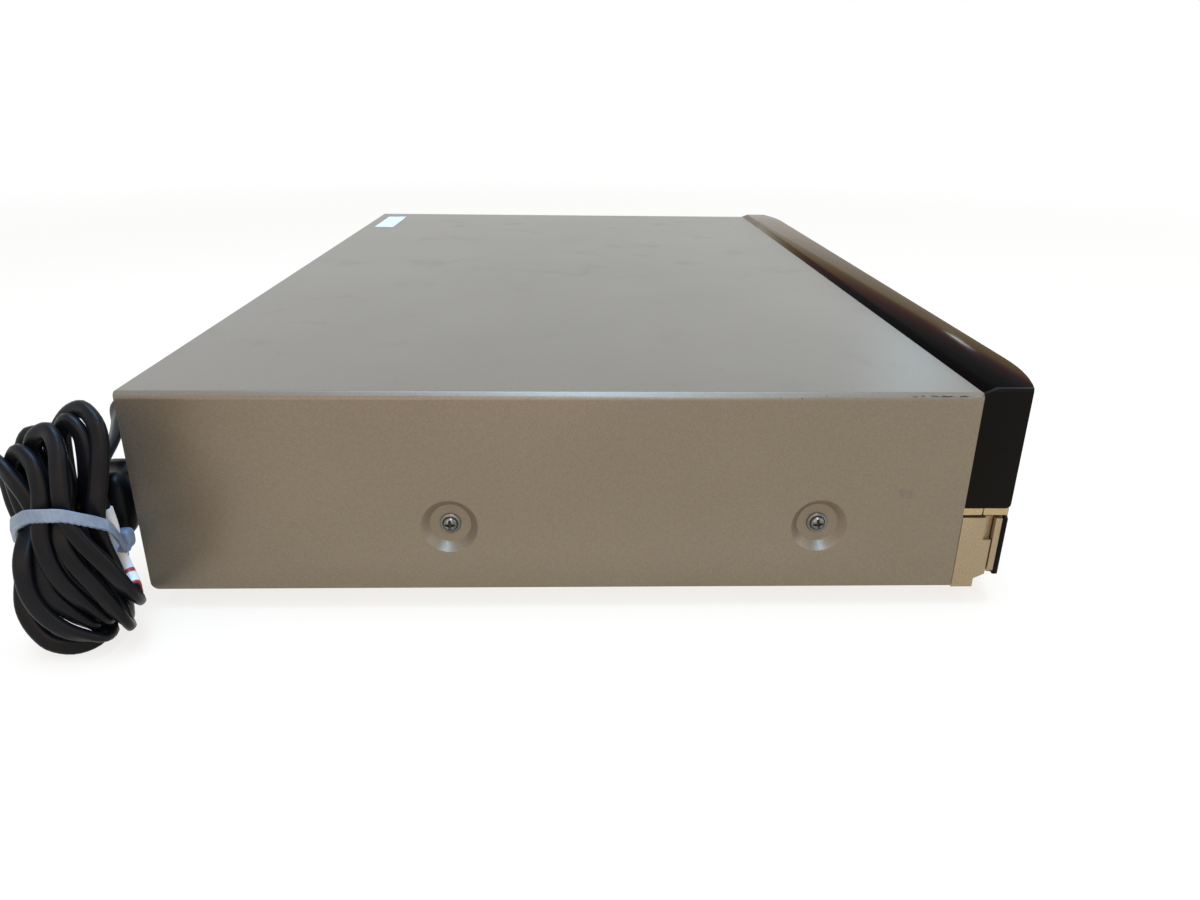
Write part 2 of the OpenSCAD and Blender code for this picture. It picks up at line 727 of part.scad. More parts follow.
// Tape door: a plate with a barrel along its upper edge and a pin at each end
module tape_door() {
    half = tape_door_w / 2;
    color([0.035, 0.035, 0.035]) {
        difference() {
            block([deck_x - half, tape_y0, tape_z0], [deck_x + half, tape_back_y, tape_z1]);
            block([deck_x - 12, tape_y0 - over, tape_z0 + 2], [deck_x + 12, tape_y0 + 0.5, tape_z0 + 3]);
        }
        block([deck_x - half, tape_back_y - lap, tape_hinge_z - tape_barrel_r],
              [deck_x + half, tape_hinge_y, tape_hinge_z + tape_barrel_r]);
        bar_x(deck_x - half, deck_x + half, tape_hinge_y, tape_hinge_z, tape_barrel_r);
        bar_x(deck_x - half - panel_gap - tape_lug_w + 0.5, deck_x + half + panel_gap + tape_lug_w - 0.5,
              tape_hinge_y, tape_hinge_z, tape_pin_r);
    }
}

door_skin = 1.6;
door_top = lower_z1 - 0.2;

// Jack door: a bright shell round the dark face, with a barrel that turns on two lugs
module jack_door() {
    color([0.66, 0.6, 0.5]) {
        difference() {
            union() {
                intersection() {
                    front_slice(fascia_z0, door_top, door_face_t, door_y1);
                    union() {
                        block([door_x0, front_y - over, fascia_z0], [door_x1, door_hinge_y, door_top]);
                        block([door_x0, front_y - over, door_hinge_z], [door_x1, door_y1, door_top]);
                        bar_x(door_x0, door_x1, door_hinge_y, door_hinge_z, door_barrel_r);
                    }
                }
                side_return();
            }
            difference() {
                front_slice(door_hinge_z + door_barrel_r + 0.4, door_top - door_skin,
                            door_face_t + door_skin, door_y1 + over);
                block([door_x1 - door_skin, front_y - over, fascia_z0], [side_x, door_y1 + 2 * over, door_top]);
            }
            for (x = lug_xs)
                block([x - lug_w / 2 - slide_gap, door_hinge_y - door_barrel_r - slide_gap, fascia_z0 - over],
                      [x + lug_w / 2 + slide_gap, door_y1 + over, door_hinge_z + door_barrel_r + slide_gap + 0.2]);
        }
        for (x = lug_xs)
            bar_x(x - lug_w / 2 - slide_gap - over, x + lug_w / 2 + slide_gap + over,
                  door_hinge_y, door_hinge_z, door_pin_r);
    }
}

// The bright edge that shows at the cabinet's side
module side_return() {
    block([door_x0, cover_y0 - front_side_d + door_face_t, door_hinge_z],
          [door_x0 + door_face_t + door_skin, door_y1, door_top]);
}

// Dark plate that faces the jack door
module door_face() {
    color([0.05, 0.05, 0.055]) intersection() {
        difference() {
            front_slice(fascia_z0, door_top);
            front_slice(fascia_z0 - over, door_top + over, door_face_t, cover_y0 + over);
            block([-side_x - over, cover_y0 - front_side_d + door_face_t, fascia_z0 - over],
                  [-side_x + 2 * wall, cover_y0 + over, door_top + over]);
        }
        block([door_x0, front_y - over, fascia_z0], [door_x1, cover_y0, door_top]);
    }
}

jack_xs = [for (i = [0 : 3]) door_x0 + 42 + i * socket_pitch];
jack_z = door_hinge_z + 10;
jack_len = 5.6;

// Four sockets behind the jack door, on their own small board
module front_jacks() {
    seat_y = recess_y + wall;
    color([0.72, 0.62, 0.35]) {
        for (x = jack_xs) difference() {
            bar_y(recess_y - jack_len, seat_y + 4, x, jack_z, socket_r);
            bar_y(recess_y - jack_len - over, recess_y - jack_len + 0.8, x, jack_z, socket_r * 0.8);
            bar_y(recess_y - jack_len, recess_y, x, jack_z, pin_hole_r);
        }
        block([jack_xs[0] - 9, seat_y + 4, fascia_z0 + wall + 0.5], [jack_xs[3] + 9, seat_y + 4 + board_t,
              lower_z1 - wall - 0.5]);
    }
}

// A push switch on a front board, its plunger close behind a button
module tact_switch(x, z, board_y, stem_y) {
    block([x - 3, board_y - 2, z - 3], [x + 3, board_y, z + 3]);
    bar_y(stem_y, board_y - 2 + lap, x, z, 1.2);
}

stem_end = front_board_y - 3.2;         // rear end of a pressed button's stem
stem_gap = 0.2;

key_board_y = recess_y - board_t;

// Boards behind the front with the display tube and the switches, and one on the recess wall
module front_boards() {
    color([0.16, 0.35, 0.2]) {
        block([loader_x - 66, front_board_y, upper_z0 + wall + 0.5],
              [eject_x + eject_w * 0.6, front_board_y + board_t, tray_front_z0 - 1]);
        block([eject_x - eject_w * 0.6, front_board_y, tray_front_z0 - 1 - lap],
              [eject_x + eject_w * 0.6, front_board_y + board_t, disc_eject_z + 6]);
        block([window_x1 - window_w + 4, wall_y + window_lip_t + 0.2, window_z[0] + 0.8],
              [window_x1 - 4, front_board_y + lap, window_z[1] - 0.6]);
        tact_switch(power_x0, power_z, front_board_y + lap, stem_end + stem_gap);
        for (z = [disc_eject_z, tape_eject_z])
            tact_switch(eject_x, z, front_board_y + lap, stem_end + stem_gap);
        block([key_xs[0] - 15, key_board_y, key_z - 6], [key_xs[3] + 15, recess_y, key_z + 6]);
        for (x = key_xs) tact_switch(x, key_z, key_board_y + lap, key_board_y - 3);
    }
}

// A button: a cap in its hole, a flange behind the wall that keeps it in, and a stem towards its switch
module key(x, z, w, h, stem_y) {
    flange = 1.2;
    flange_y = wall_y + button_travel * 0.25;
    block([x - w / 2, front_y - button_proud, z - h / 2], [x + w / 2, flange_y, z + h / 2]);
    block([x - w / 2 - flange, flange_y - lap, z - h / 2 - flange / 2],
          [x + w / 2 + flange, flange_y + 0.8, z + h / 2 + flange / 2]);
    bar_y(flange_y, stem_y, x, z, 1.5);
}

module power_button() {
    flange_y = wall_y + button_travel * 0.25;
    color([0.1, 0.1, 0.1]) {
        bar_y(front_y - button_proud, flange_y, power_x0, power_z, power_r);
        bar_y(flange_y - lap, flange_y + 0.8, power_x0, power_z, power_r + 1.2);
        bar_y(flange_y, stem_end - button_travel, power_x0, power_z, 1.5);
    }
}

module eject_button(z) {
    color([0.1, 0.1, 0.1]) key(eject_x, z, eject_w, key_h, stem_end - button_travel);
}

module transport_button(i) {
    color([0.62, 0.6, 0.55]) key(key_xs[i], key_z, key_w, key_h, key_board_y - 3 - button_travel - stem_gap);
}

// ---------- disc loader ----------

module rack_teeth() {
    half = tooth_pitch / 4 - tooth_play / 2;
    tip = half - gear_module * tan(20);
    root = half + 1.25 * gear_module * tan(20);
    first = floor((tray_y0 + 6 - gear_y) / tooth_pitch);
    last = floor((tray_y1 - 4 - gear_y) / tooth_pitch);
    for (i = [first : last]) translate([rack_x, gear_y + (i + 0.5) * tooth_pitch])
        polygon([[-1.25 * gear_module - lap, -root], [gear_module, -tip], [gear_module, tip],
                 [-1.25 * gear_module - lap, root]]);
}

// Tray with its disc recess, the opening over the pickup and a rack under its left side
module disc_tray() {
    recess = 2.4;
    inner_recess_r = 40.5;
    hole_r = turntable_r + 5;
    slot_x = sled_x - 1;
    rack_z0 = gear_z0 - 0.2;
    bar_w = 3.2;
    bar_x1 = rack_x - 1.25 * gear_module;
    color([0.1, 0.1, 0.1]) {
        difference() {
            block([loader_x - tray_w / 2, tray_y0, tray_z0], [loader_x + tray_w / 2, tray_y1, tray_z1]);
            bar_z(tray_z1 - recess, tray_z1 + over, loader_x, disc_y, disc_recess_r);
            bar_z(tray_z1 - recess - 1, tray_z1, loader_x, disc_y, inner_recess_r);
            bar_z(tray_z0 - over, tray_z1, loader_x, disc_y, hole_r);
            block([loader_x - slot_x, disc_y, tray_z0 - over],
                  [loader_x + slot_x, disc_y + disc_recess_r - 3, tray_z1 - recess + lap]);
        }
        translate([0, 0, rack_z0]) linear_extrude(tray_z0 - rack_z0 + lap) {
            translate([bar_x1 - bar_w, tray_y0 + 4]) square([bar_w, tray_len - 8]);
            rack_teeth();
        }
    }
}

module tray_front() {
    color([0.035, 0.035, 0.035])
        block([loader_x - tray_front_w / 2, front_y, tray_front_z0],
              [loader_x + tray_front_w / 2, tray_y0, tray_front_z0 + tray_front_h]);
}

// Moulded frame: side walls with ledges for the tray, a front shelf, a rear wall with the hinge lugs, and legs
module loader_frame() {
    leg = 8;
    ledge = 3.5;
    lip = 2;
    rear_t = 3;
    lug_x = plate_x + slide_gap;
    color([0.2, 0.2, 0.21]) difference() {
        union() {
            for (s = [-1, 1]) translate([loader_x, 0, 0]) {
                x = s > 0 ? [frame_in_x, frame_out_x] : [-frame_out_x, -frame_in_x];
                block([x[0], frame_y0, frame_z0], [x[1], frame_y1, frame_z1]);
                e = s > 0 ? frame_in_x - ledge : -frame_in_x;
                block([e, frame_y0, tray_z0 - slide_gap - 2], [e + ledge, frame_y1, tray_z0 - slide_gap]);
                f = s > 0 ? frame_in_x - lip : -frame_in_x;
                block([f, frame_y0, tray_z1 + slide_gap], [f + lip, frame_y1, frame_z1]);
                g = s > 0 ? frame_in_x : -frame_in_x - leg;
                for (y = [frame_y0 + sheet_t + panel_gap, frame_y1 - leg])
                    block([g, y, floor_z], [g + leg, y + leg, frame_z0 + 6]);
            }
            block([loader_x - frame_out_x, frame_y0, shelf_z1 - shelf_t],
                  [loader_x + frame_out_x, shelf_y1, shelf_z1]);
            block([loader_x - 20, shelf_y1 - shelf_wall_t, plate_z0 - slide_gap - 2],
                  [loader_x + 20, plate_y0 + 4, plate_z0 - slide_gap]);
            block([loader_x - 20, shelf_y1 - shelf_wall_t, plate_z0 - slide_gap - 2],
                  [loader_x + 20, shelf_y1, shelf_z1 - lap]);
            block([loader_x - frame_out_x, frame_y1 - rear_t, frame_z0],
                  [loader_x + frame_out_x, frame_y1, tray_z0 - slide_gap]);
            for (s = [-1, 1]) {
                x = loader_x + s * (lug_x + hinge_lug_w / 2);
                block([x - hinge_lug_w / 2, hinge_y - 5, hinge_z - 5],
                      [x + hinge_lug_w / 2, frame_y1 - rear_t + lap, hinge_z + 5]);
            }
            bar_z(shelf_z1 - lap, gear_z0 + gear_h + 0.4, gear_x, gear_y, gear_post_r);
            bar_z(shelf_z1 - lap, pulley_z0 - 0.2, gear_x, gear_y, gear_post_r + 2);
        }
        bar_x(loader_x - lug_x - hinge_lug_w - over, loader_x + lug_x + hinge_lug_w + over,
              hinge_y, hinge_z, hinge_pin_r + running_gap);
        bar_z(shelf_z1 - shelf_t - over, shelf_z1 + over, motor_x, motor_y, motor_shaft_r + 1.5);
    }
}

clamp_hole_r = 13;
bridge_t = 1.5;

// Steel bridge over the tray that holds the disc clamp
module clamp_bridge() {
    color([0.7, 0.71, 0.72]) difference() {
        block([loader_x - frame_out_x, disc_y - 20, frame_z1],
              [loader_x + frame_out_x, disc_y + 20, frame_z1 + bridge_t]);
        bar_z(frame_z1 - over, frame_z1 + bridge_t + over, loader_x, disc_y, clamp_hole_r);
    }
}

// Loose clamp that rests in the bridge's hole
module disc_clamp() {
    z = frame_z1 + bridge_t + 0.2;
    color([0.85, 0.85, 0.83]) difference() {
        union() {
            bar_z(z, z + 1.6, loader_x, disc_y, clamp_hole_r + 3);
            bar_z(tray_z1 + 0.9, z + lap, loader_x, disc_y, clamp_hole_r - 0.4);
        }
        for (i = [0 : 2]) rotate_about(loader_x, disc_y, i * 120)
            bar_z(z + 0.8, z + 3, loader_x + 9, disc_y, 2);
    }
}

module rotate_about(x, y, angle) {
    translate([x, y, 0]) rotate(angle) translate([-x, -y, 0]) children();
}

// Pivoted plate that carries the turntable and the pickup
module traverse_deck() {
    lug = 4;
    pin_x = plate_x + slide_gap + hinge_lug_w;
    rear_y = hinge_y + 3;
    rail_y1 = sled_y0 + sled_d + sled_travel + 3;
    color([0.55, 0.56, 0.57]) {
        difference() {
            union() {
                block([loader_x - plate_x, plate_y0, plate_z0], [loader_x + plate_x, rear_y, plate_z1]);
                for (s = [-1, 1], y = [disc_y - 18, rail_y1])
                    block([loader_x + s * rod_x - 3, y, plate_z1 - lap],
                          [loader_x + s * rod_x + 3, y + lug, rod_z + rod_r + 0.9]);
                bar_x(loader_x - plate_x, loader_x + plate_x, hinge_y, hinge_z, hinge_pin_r + 0.8);
                block([loader_x + screw_x - 4, rail_y1, lead_z - lead_r - 1.2],
                      [loader_x + screw_x + 4, rail_y1 + lug, plate_z0 + lap]);
            }
            bar_y(rail_y1 - over, rail_y1 + lug + over, loader_x + screw_x, lead_z, lead_r + running_gap);
            block([loader_x - sled_x + 2, sled_y0 - 2, plate_z0 - over],
                  [loader_x + sled_x - 2, rail_y1 - 1.5, plate_z1 + over]);
            for (s = [-1, 1])
                bar_y(disc_y - 18 - over, rail_y1 + lug + over, loader_x + s * rod_x, rod_z, rod_r);
        }
        bar_x(loader_x - pin_x, loader_x + pin_x, hinge_y, hinge_z, hinge_pin_r);
    }
}

// Spindle motor on the plate and sled motor under it
module traverse_motors() {
    motor_y1 = sled_y0 - 3;
    color([0.45, 0.46, 0.48]) {
        difference() {
            bar_z(plate_z1, plate_z1 + spindle_motor_h, loader_x, disc_y, spindle_motor_r);
            bar_z(plate_z1 + 1.5, plate_z1 + spindle_motor_h + over, loader_x, disc_y, spindle_r + running_gap);
        }
        difference() {
            block([loader_x + screw_x - sled_motor_w / 2, motor_y1 - sled_motor_d, lead_z - 4.3],
                  [loader_x + screw_x + sled_motor_w / 2, motor_y1, plate_z0]);
            bar_y(motor_y1 - 5, motor_y1 + over, loader_x + screw_x, lead_z, lead_r + running_gap);
        }
    }
}

// Two steel rods that guide the pickup sled
module sled_rods() {
    lug = 4;
    color([0.85, 0.86, 0.87]) for (s = [-1, 1])
        bar_y(disc_y - 18, sled_y0 + sled_d + sled_travel + 3 + lug, loader_x + s * rod_x, rod_z, rod_r);
}

module turntable() {
    hub_h = 2;
    color([0.3, 0.3, 0.31]) {
        bar_z(turntable_z1 - turntable_t, turntable_z1, loader_x, disc_y, turntable_r);
        translate([loader_x, disc_y, turntable_z1 - lap]) cylinder(h = hub_h + lap, r1 = 7.4, r2 = 6.2);
        bar_z(plate_z1 + 2.5, turntable_z1 - turntable_t + lap, loader_x, disc_y, spindle_r);
    }
}

// Pickup sled with its lens and the half nut that the lead screw drives
module pickup_sled() {
    wide_z1 = rod_z + rod_r + 1.6;
    top_z1 = tray_z0 - 5;
    nut_w = 4;
    lens_y = sled_y0 + 8;
    color([0.28, 0.28, 0.3]) difference() {
        union() {
            block([loader_x - sled_x, sled_y0, sled_z0], [loader_x + sled_x, sled_y0 + sled_d, wide_z1]);
            block([loader_x - 17, sled_y0, wide_z1 - lap], [loader_x + 17, sled_y0 + sled_d, top_z1]);
            bar_z(top_z1 - lap, top_z1 + 1.3, loader_x, lens_y, 4);
            block([loader_x + screw_x - nut_w, sled_y0 + 6, lead_z - lead_r - 1.5],
                  [loader_x + screw_x + nut_w, sled_y0 + 16, sled_z0 + lap]);
        }
        for (s = [-1, 1])
            bar_y(sled_y0 - over, sled_y0 + sled_d + over, loader_x + s * rod_x, rod_z, rod_r + running_gap);
        bar_y(sled_y0, sled_y0 + sled_d, loader_x + screw_x, lead_z, lead_r + slide_gap);
    }
}

module lead_screw() {
    y0 = sled_y0 - 3 - 4.5;
    y1 = sled_y0 + sled_d + sled_travel + 6.5;
    color([0.8, 0.8, 0.78]) bar_y(y0, y1, loader_x + screw_x, lead_z, lead_r);
}

// Involute tooth: half its angle at radius r
function involute(a) = (tan(a) - a * PI / 180) * 180 / PI;
function half_tooth(r) = 90 / gear_teeth + involute(20) - involute(acos(min(1, base_r / r)))
    - tooth_play / 2 / pitch_r * 180 / PI;
function at_angle(r, a) = [r * cos(a), r * sin(a)];

module gear_outline() {
    steps = 5;
    flank = [for (i = [0 : steps]) max(base_r, root_r) + (outer_r - max(base_r, root_r)) * i / steps];
    polygon([for (i = [0 : gear_teeth - 1]) let (middle = 180 + i * 360 / gear_teeth)
        each concat(
            [at_angle(root_r, middle - half_tooth(base_r))],
            [for (r = flank) at_angle(r, middle - half_tooth(r))],
            [for (j = [0 : steps]) at_angle(flank[steps - j], middle + half_tooth(flank[steps - j]))],
            [at_angle(root_r, middle + half_tooth(base_r))])]);
}

// Belt pulley: a groove between two lips
module pulley(z0, h, x, y, r) {
    lip_h = (h - 2) / 2;
    bar_z(z0, z0 + h, x, y, r);
    bar_z(z0, z0 + lip_h, x, y, r + pulley_lip);
    bar_z(z0 + h - lip_h, z0 + h, x, y, r + pulley_lip);
}

// Tray gear with its belt pulley, on the frame's post
module tray_gear() {
    color([0.92, 0.9, 0.82]) difference() {
        union() {
            translate([gear_x, gear_y, gear_z0]) linear_extrude(gear_h) gear_outline();
            pulley(pulley_z0, pulley_h, gear_x, gear_y, gear_pulley_r);
            bar_z(pulley_z0 + pulley_h - lap, gear_z0 + lap, gear_x, gear_y, root_r - 1);
        }
        bar_z(pulley_z0 - over, gear_z0 + gear_h + over, gear_x, gear_y, gear_post_r + running_gap);
    }
}

module loading_motor() {
    z1 = shelf_z1 - shelf_t;
    color([0.6, 0.61, 0.63]) difference() {
        bar_z(z1 - motor_h, z1, motor_x, motor_y, motor_r);
        bar_z(z1 - motor_h + 2, z1 + over, motor_x, motor_y, motor_shaft_r + running_gap);
    }
}

module motor_pulley() {
    color([0.9, 0.88, 0.8]) {
        pulley(pulley_z0, pulley_h, motor_x, motor_y, motor_pulley_r);
        bar_z(shelf_z1 - shelf_t - motor_h + 3, pulley_z0 + lap, motor_x, motor_y, motor_shaft_r);
    }
}

module belt_loop(grow) {
    hull() {
        translate([gear_x, gear_y]) circle(r = gear_pulley_r + grow);
        translate([motor_x, motor_y]) circle(r = motor_pulley_r + grow);
    }
}

module drive_belt() {
    belt = 1.2;
    z = pulley_z0 + pulley_h / 2 - belt / 2;
    color([0.06, 0.06, 0.06]) translate([0, 0, z]) linear_extrude(belt) difference() {
        belt_loop(0.1 + belt);
        belt_loop(0.1);
    }
}

// ---------- tape deck ----------

// A slot from a to b, for a cut through the deck plate
module slant_slot(a, b, r, z0, z1) {
    turn = atan2(b[1] - a[1], b[0] - a[0]);
    translate([a[0], a[1], z0]) rotate(turn) translate([-r, -r, 0]) cube([norm(b - a) + 2 * r, 2 * r, z1 - z0]);
}

// Steel deck: plate, side brackets with the holder's slots, posts for the reels and legs
module deck_plate() {
    leg_r = 4;
    slot_r = holder_pin_r + slide_gap;
    drop = 14;
    color([0.66, 0.67, 0.68]) difference() {
        union() {
            block([deck_x - deck_half_w, deck_y0, deck_z0], [deck_x + deck_half_w, deck_y1, deck_z1]);
            for (s = [-1, 1]) {
                x = deck_x + s * (bracket_x + bracket_t / 2);
                block([x - bracket_t / 2, deck_y0, deck_z0], [x + bracket_t / 2, loaded_y - 6, bracket_z1]);
                bar_z(deck_z1 - lap, reel_top - 1, deck_x + s * reel_pitch / 2, reel_y, reel_post_r);
                for (y = [deck_y0 + 10, deck_y1 - 10])
                    bar_z(floor_z, deck_z0 + lap, deck_x + s * (deck_half_w - 10), y, leg_r);
            }
            bar_z(deck_z0 - 2, deck_z1 + 3, capstan_at[0], capstan_at[1], capstan_r + 3);
            bar_z(deck_z1 - lap, deck_z1 + 13, pinch_pivot[0], pinch_pivot[1], pinch_post_r);
        }
        for (y = holder_pin_ys) {
            block([deck_x - deck_half_w - over, y - slot_r, holder_pin_z - slot_r],
                  [deck_x + deck_half_w + over, y + holder_travel, holder_pin_z + slot_r]);
            block([deck_x - deck_half_w - over, y + holder_travel - slot_r, holder_pin_z - drop],
                  [deck_x + deck_half_w + over, y + holder_travel + slot_r, holder_pin_z + slot_r]);
        }
        for (s = [-1, 1])
            slant_slot([deck_x + s * guide_start[0], guide_start[1]], [deck_x + s * guide_end[0], guide_end[1]],
                       guide_pin_r + slide_gap, deck_z0 - over, deck_z1 + over);
        bar_z(deck_z0 - 2 - over, deck_z1 + 3 + over, capstan_at[0], capstan_at[1], capstan_r + running_gap);
    }
}

lower_drum_h = 8;
drum_split = 0.5;
drum_shaft_r = 3;

module lower_drum() {
    color([0.72, 0.72, 0.73]) difference() {
        union() {
            bar_z(deck_z1, deck_z1 + lower_drum_h, deck_x, drum_y, drum_r);
            bar_z(deck_z1, deck_z1 + 3, deck_x, drum_y, drum_r + 1.5);
        }
        bar_z(deck_z1 + 1, deck_z1 + lower_drum_h + over, deck_x, drum_y, drum_shaft_r + running_gap);
    }
}

// Rotating upper drum with its heads' windows
module head_drum() {
    z0 = deck_z1 + lower_drum_h + drum_split;
    h = 15;
    color([0.8, 0.8, 0.81]) difference() {
        union() {
            bar_z(z0, z0 + h, deck_x, drum_y, drum_r);
            bar_z(z0 + h - lap, z0 + h + 3, deck_x, drum_y, 11);
            bar_z(deck_z1 + 2, z0 + lap, deck_x, drum_y, drum_shaft_r);
        }
        for (turn = [0, 180]) rotate_about(deck_x, drum_y, turn)
            block([deck_x + drum_r - 2, drum_y - 3, z0 - over], [deck_x + drum_r + over, drum_y + 3, z0 + 3]);
        for (i = [0 : 2]) rotate_about(deck_x, drum_y, i * 120 + 30)
            bar_z(z0 + h - 2, z0 + h + over, deck_x + 20, drum_y, 3);
    }
}

// Capstan shaft with its flywheel under the deck
module capstan() {
    flywheel_z = floor_z + 2;
    color([0.82, 0.82, 0.8]) {
        bar_z(flywheel_z, deck_z1 + 26, capstan_at[0], capstan_at[1], capstan_r);
        bar_z(flywheel_z, flywheel_z + 5, capstan_at[0], capstan_at[1], flywheel_r);
    }
}

// Arm that swings the pinch roller to the capstan
module pinch_arm() {
    arm_z = deck_z1 + 3.4;
    arm_t = 2;
    color([0.7, 0.71, 0.72]) difference() {
        union() {
            bar_z(arm_z - 3, arm_z + 9, pinch_pivot[0], pinch_pivot[1], 4);
            bar_z(arm_z, arm_z + arm_t, pinch_at[0], pinch_at[1], 4);
            translate([pinch_pivot[0], pinch_pivot[1], arm_z]) rotate(pinch_turn)
                translate([0, -2.5, 0]) cube([pinch_arm_len, 5, arm_t]);
            bar_z(arm_z + arm_t - lap, arm_z + arm_t + 14, pinch_at[0], pinch_at[1], pinch_post_r);
        }
        bar_z(arm_z - 3 - over, arm_z + 9 + over, pinch_pivot[0], pinch_pivot[1], pinch_post_r + running_gap);
    }
}

module pinch_roller() {
    z0 = deck_z1 + 3.4 + 2 + 0.3;
    color([0.08, 0.08, 0.08]) difference() {
        bar_z(z0, z0 + 12.5, pinch_at[0], pinch_at[1], pinch_r);
        bar_z(z0 - over, z0 + 14, pinch_at[0], pinch_at[1], pinch_post_r + running_gap);
    }
}

// Reel table: a disc and a spindle with three fins, on the deck's post
module reel(s) {
    x = deck_x + s * reel_pitch / 2;
    z0 = deck_z1 + 0.3;
    fin = 2.4;
    color([0.88, 0.87, 0.82]) difference() {
        union() {
            bar_z(z0, z0 + reel_h, x, reel_y, reel_r);
            bar_z(z0, reel_top, x, reel_y, reel_spindle_r);
            for (i = [0 : 2]) rotate_about(x, reel_y, i * 120)
                block([x + reel_spindle_r - 1, reel_y - 1, z0 + 1], [x + reel_spindle_r + fin, reel_y + 1, reel_top - 3]);
        }
        bar_z(z0 - over, reel_top - 0.5, x, reel_y, reel_post_r + running_gap);
    }
}

// Cassette holder: floor with openings, sides, lips over the cassette and pins in the brackets' slots
module cassette_holder() {
    lip_y0 = tape_hinge_y + tape_door_h + 1;
    lip_z = holder_z1 + cassette_h + 0.5;
    lip_w = 12;
    color([0.64, 0.65, 0.67]) {
        difference() {
            block([deck_x - holder_out_x, holder_y0, holder_z0], [deck_x + holder_out_x, holder_y1, holder_z1]);
            for (s = [-1, 1])
                block([deck_x + s * reel_pitch / 2 - 17, reel_y - holder_travel - 17, holder_z0 - over],
                      [deck_x + s * reel_pitch / 2 + 17, reel_y - holder_travel + 17, holder_z1 + over]);
            block([deck_x - 70, holder_y1 - 22, holder_z0 - over], [deck_x + 70, holder_y1 - 3, holder_z1 + over]);
        }
        for (s = [-1, 1]) {
            x = s > 0 ? [deck_x + holder_in_x, deck_x + holder_out_x] : [deck_x - holder_out_x, deck_x - holder_in_x];
            block([x[0], lip_y0, holder_z0], [x[1], holder_y1, lip_z + holder_t]);
            e = s > 0 ? x[1] - lip_w : x[0];
            block([e, lip_y0, lip_z], [e + lip_w, holder_y1, lip_z + holder_t]);
            p = s > 0 ? x[0] + lap : deck_x - bracket_x - bracket_t + 0.2;
            for (y = holder_pin_ys)
                bar_x(p, p + bracket_x + bracket_t - 0.2 - holder_in_x - lap, y, holder_pin_z, holder_pin_r);
        }
    }
}

// Guide that draws the tape round the drum along its slot
module tape_guide(s) {
    x = deck_x + s * guide_start[0];
    y = guide_start[1];
    z0 = deck_z1 + 0.2;
    color([0.76, 0.76, 0.74]) {
        bar_z(z0, z0 + 3, x, y, guide_base_r);
        bar_z(z0 + 3 - lap, holder_z0 - 1.2, x, y, guide_post_r);
        bar_z(deck_z0 - 3, z0 + lap, x, y, guide_pin_r);
    }
}

// ---------- boards and rear ----------

module main_board() {
    color([0.14, 0.38, 0.2]) block([main_x[0], main_y[0], board_z0], [main_x[1], main_y[1], board_z1]);
}

// Chips, cans and plugs on the main board, in twelfths of the board and of the room above it
module main_parts() {
    cell = [(main_x[1] - main_x[0]) / 12, (main_y[1] - main_y[0]) / 12, part_h / 12];
    blocks = [[3.8, 4.3, 2.4, 2.4, 0.8], [7, 4.8, 1.2, 1.8, 0.8], [2, 8.3, 1.6, 2.1, 0.8],
              [8.4, 8.9, 2, 1.4, 3.6], [1.2, 1.9, 2.2, 0.8, 3.2]];
    cans = [for (at = [[5.8, 8.7], [6.6, 9.9], [9.6, 2.9], [9.6, 4.3], [3, 11.5]]) [at[0], at[1], 0.4, 4.4]];
    color([0.1, 0.1, 0.11]) board_parts([main_x[0], main_y[0]], cell, blocks, cans);
}

// Blocks as [x, y, width, depth, height] and cans as [x, y, radius, height], in cells from a board's corner
module board_parts(at, cell, blocks, cans) {
    for (b = blocks) translate([at[0] + b[0] * cell[0], at[1] + b[1] * cell[1], board_z1])
        cube([b[2] * cell[0], b[3] * cell[1], b[4] * cell[2]]);
    for (c = cans) bar_z(board_z1, board_z1 + c[3] * cell[2], at[0] + c[0] * cell[0], at[1] + c[1] * cell[1],
                         c[2] * cell[0]);
}

module power_board() {
    color([0.62, 0.48, 0.26]) block([power_x[0], power_y[0], board_z0], [power_x[1], power_y[1], board_z1]);
}

// Transformer, coil, heat sinks and capacitors on the power board
module power_parts() {
    cell = [(power_x[1] - power_x[0]) / 12, (power_y[1] - power_y[0]) / 12, part_h / 12];
    blocks = [[4.2, 3.2, 2.6, 5.6, 11.2], [1.3, 6, 1.3, 3.6, 8], [3.4, 2.4, 0.16, 6.8, 12],
              [7.1, 2.4, 0.16, 6.8, 12]];
    cans = [[8.1, 4.4, 0.73, 12], [9.9, 3.6, 0.53, 8.8], [9.9, 7.2, 0.4, 7.2], [11, 5.6, 0.4, 7.2]];
    color([0.35, 0.33, 0.2]) board_parts([power_x[0], power_y[0]], cell, blocks, cans);
}

pin_hole_r = 1.6;

// A barrel socket with an insulator and a hole for a plug's pin, its mouth towards +Y
module barrel(x, z, r, y0, y1, mouth) {
    difference() {
        bar_y(y0, y1, x, z, r);
        bar_y(y1 - 0.8, y1 + over, x, z, r * 0.8);
        bar_y(y1 - mouth, y1, x, z, pin_hole_r);
    }
}

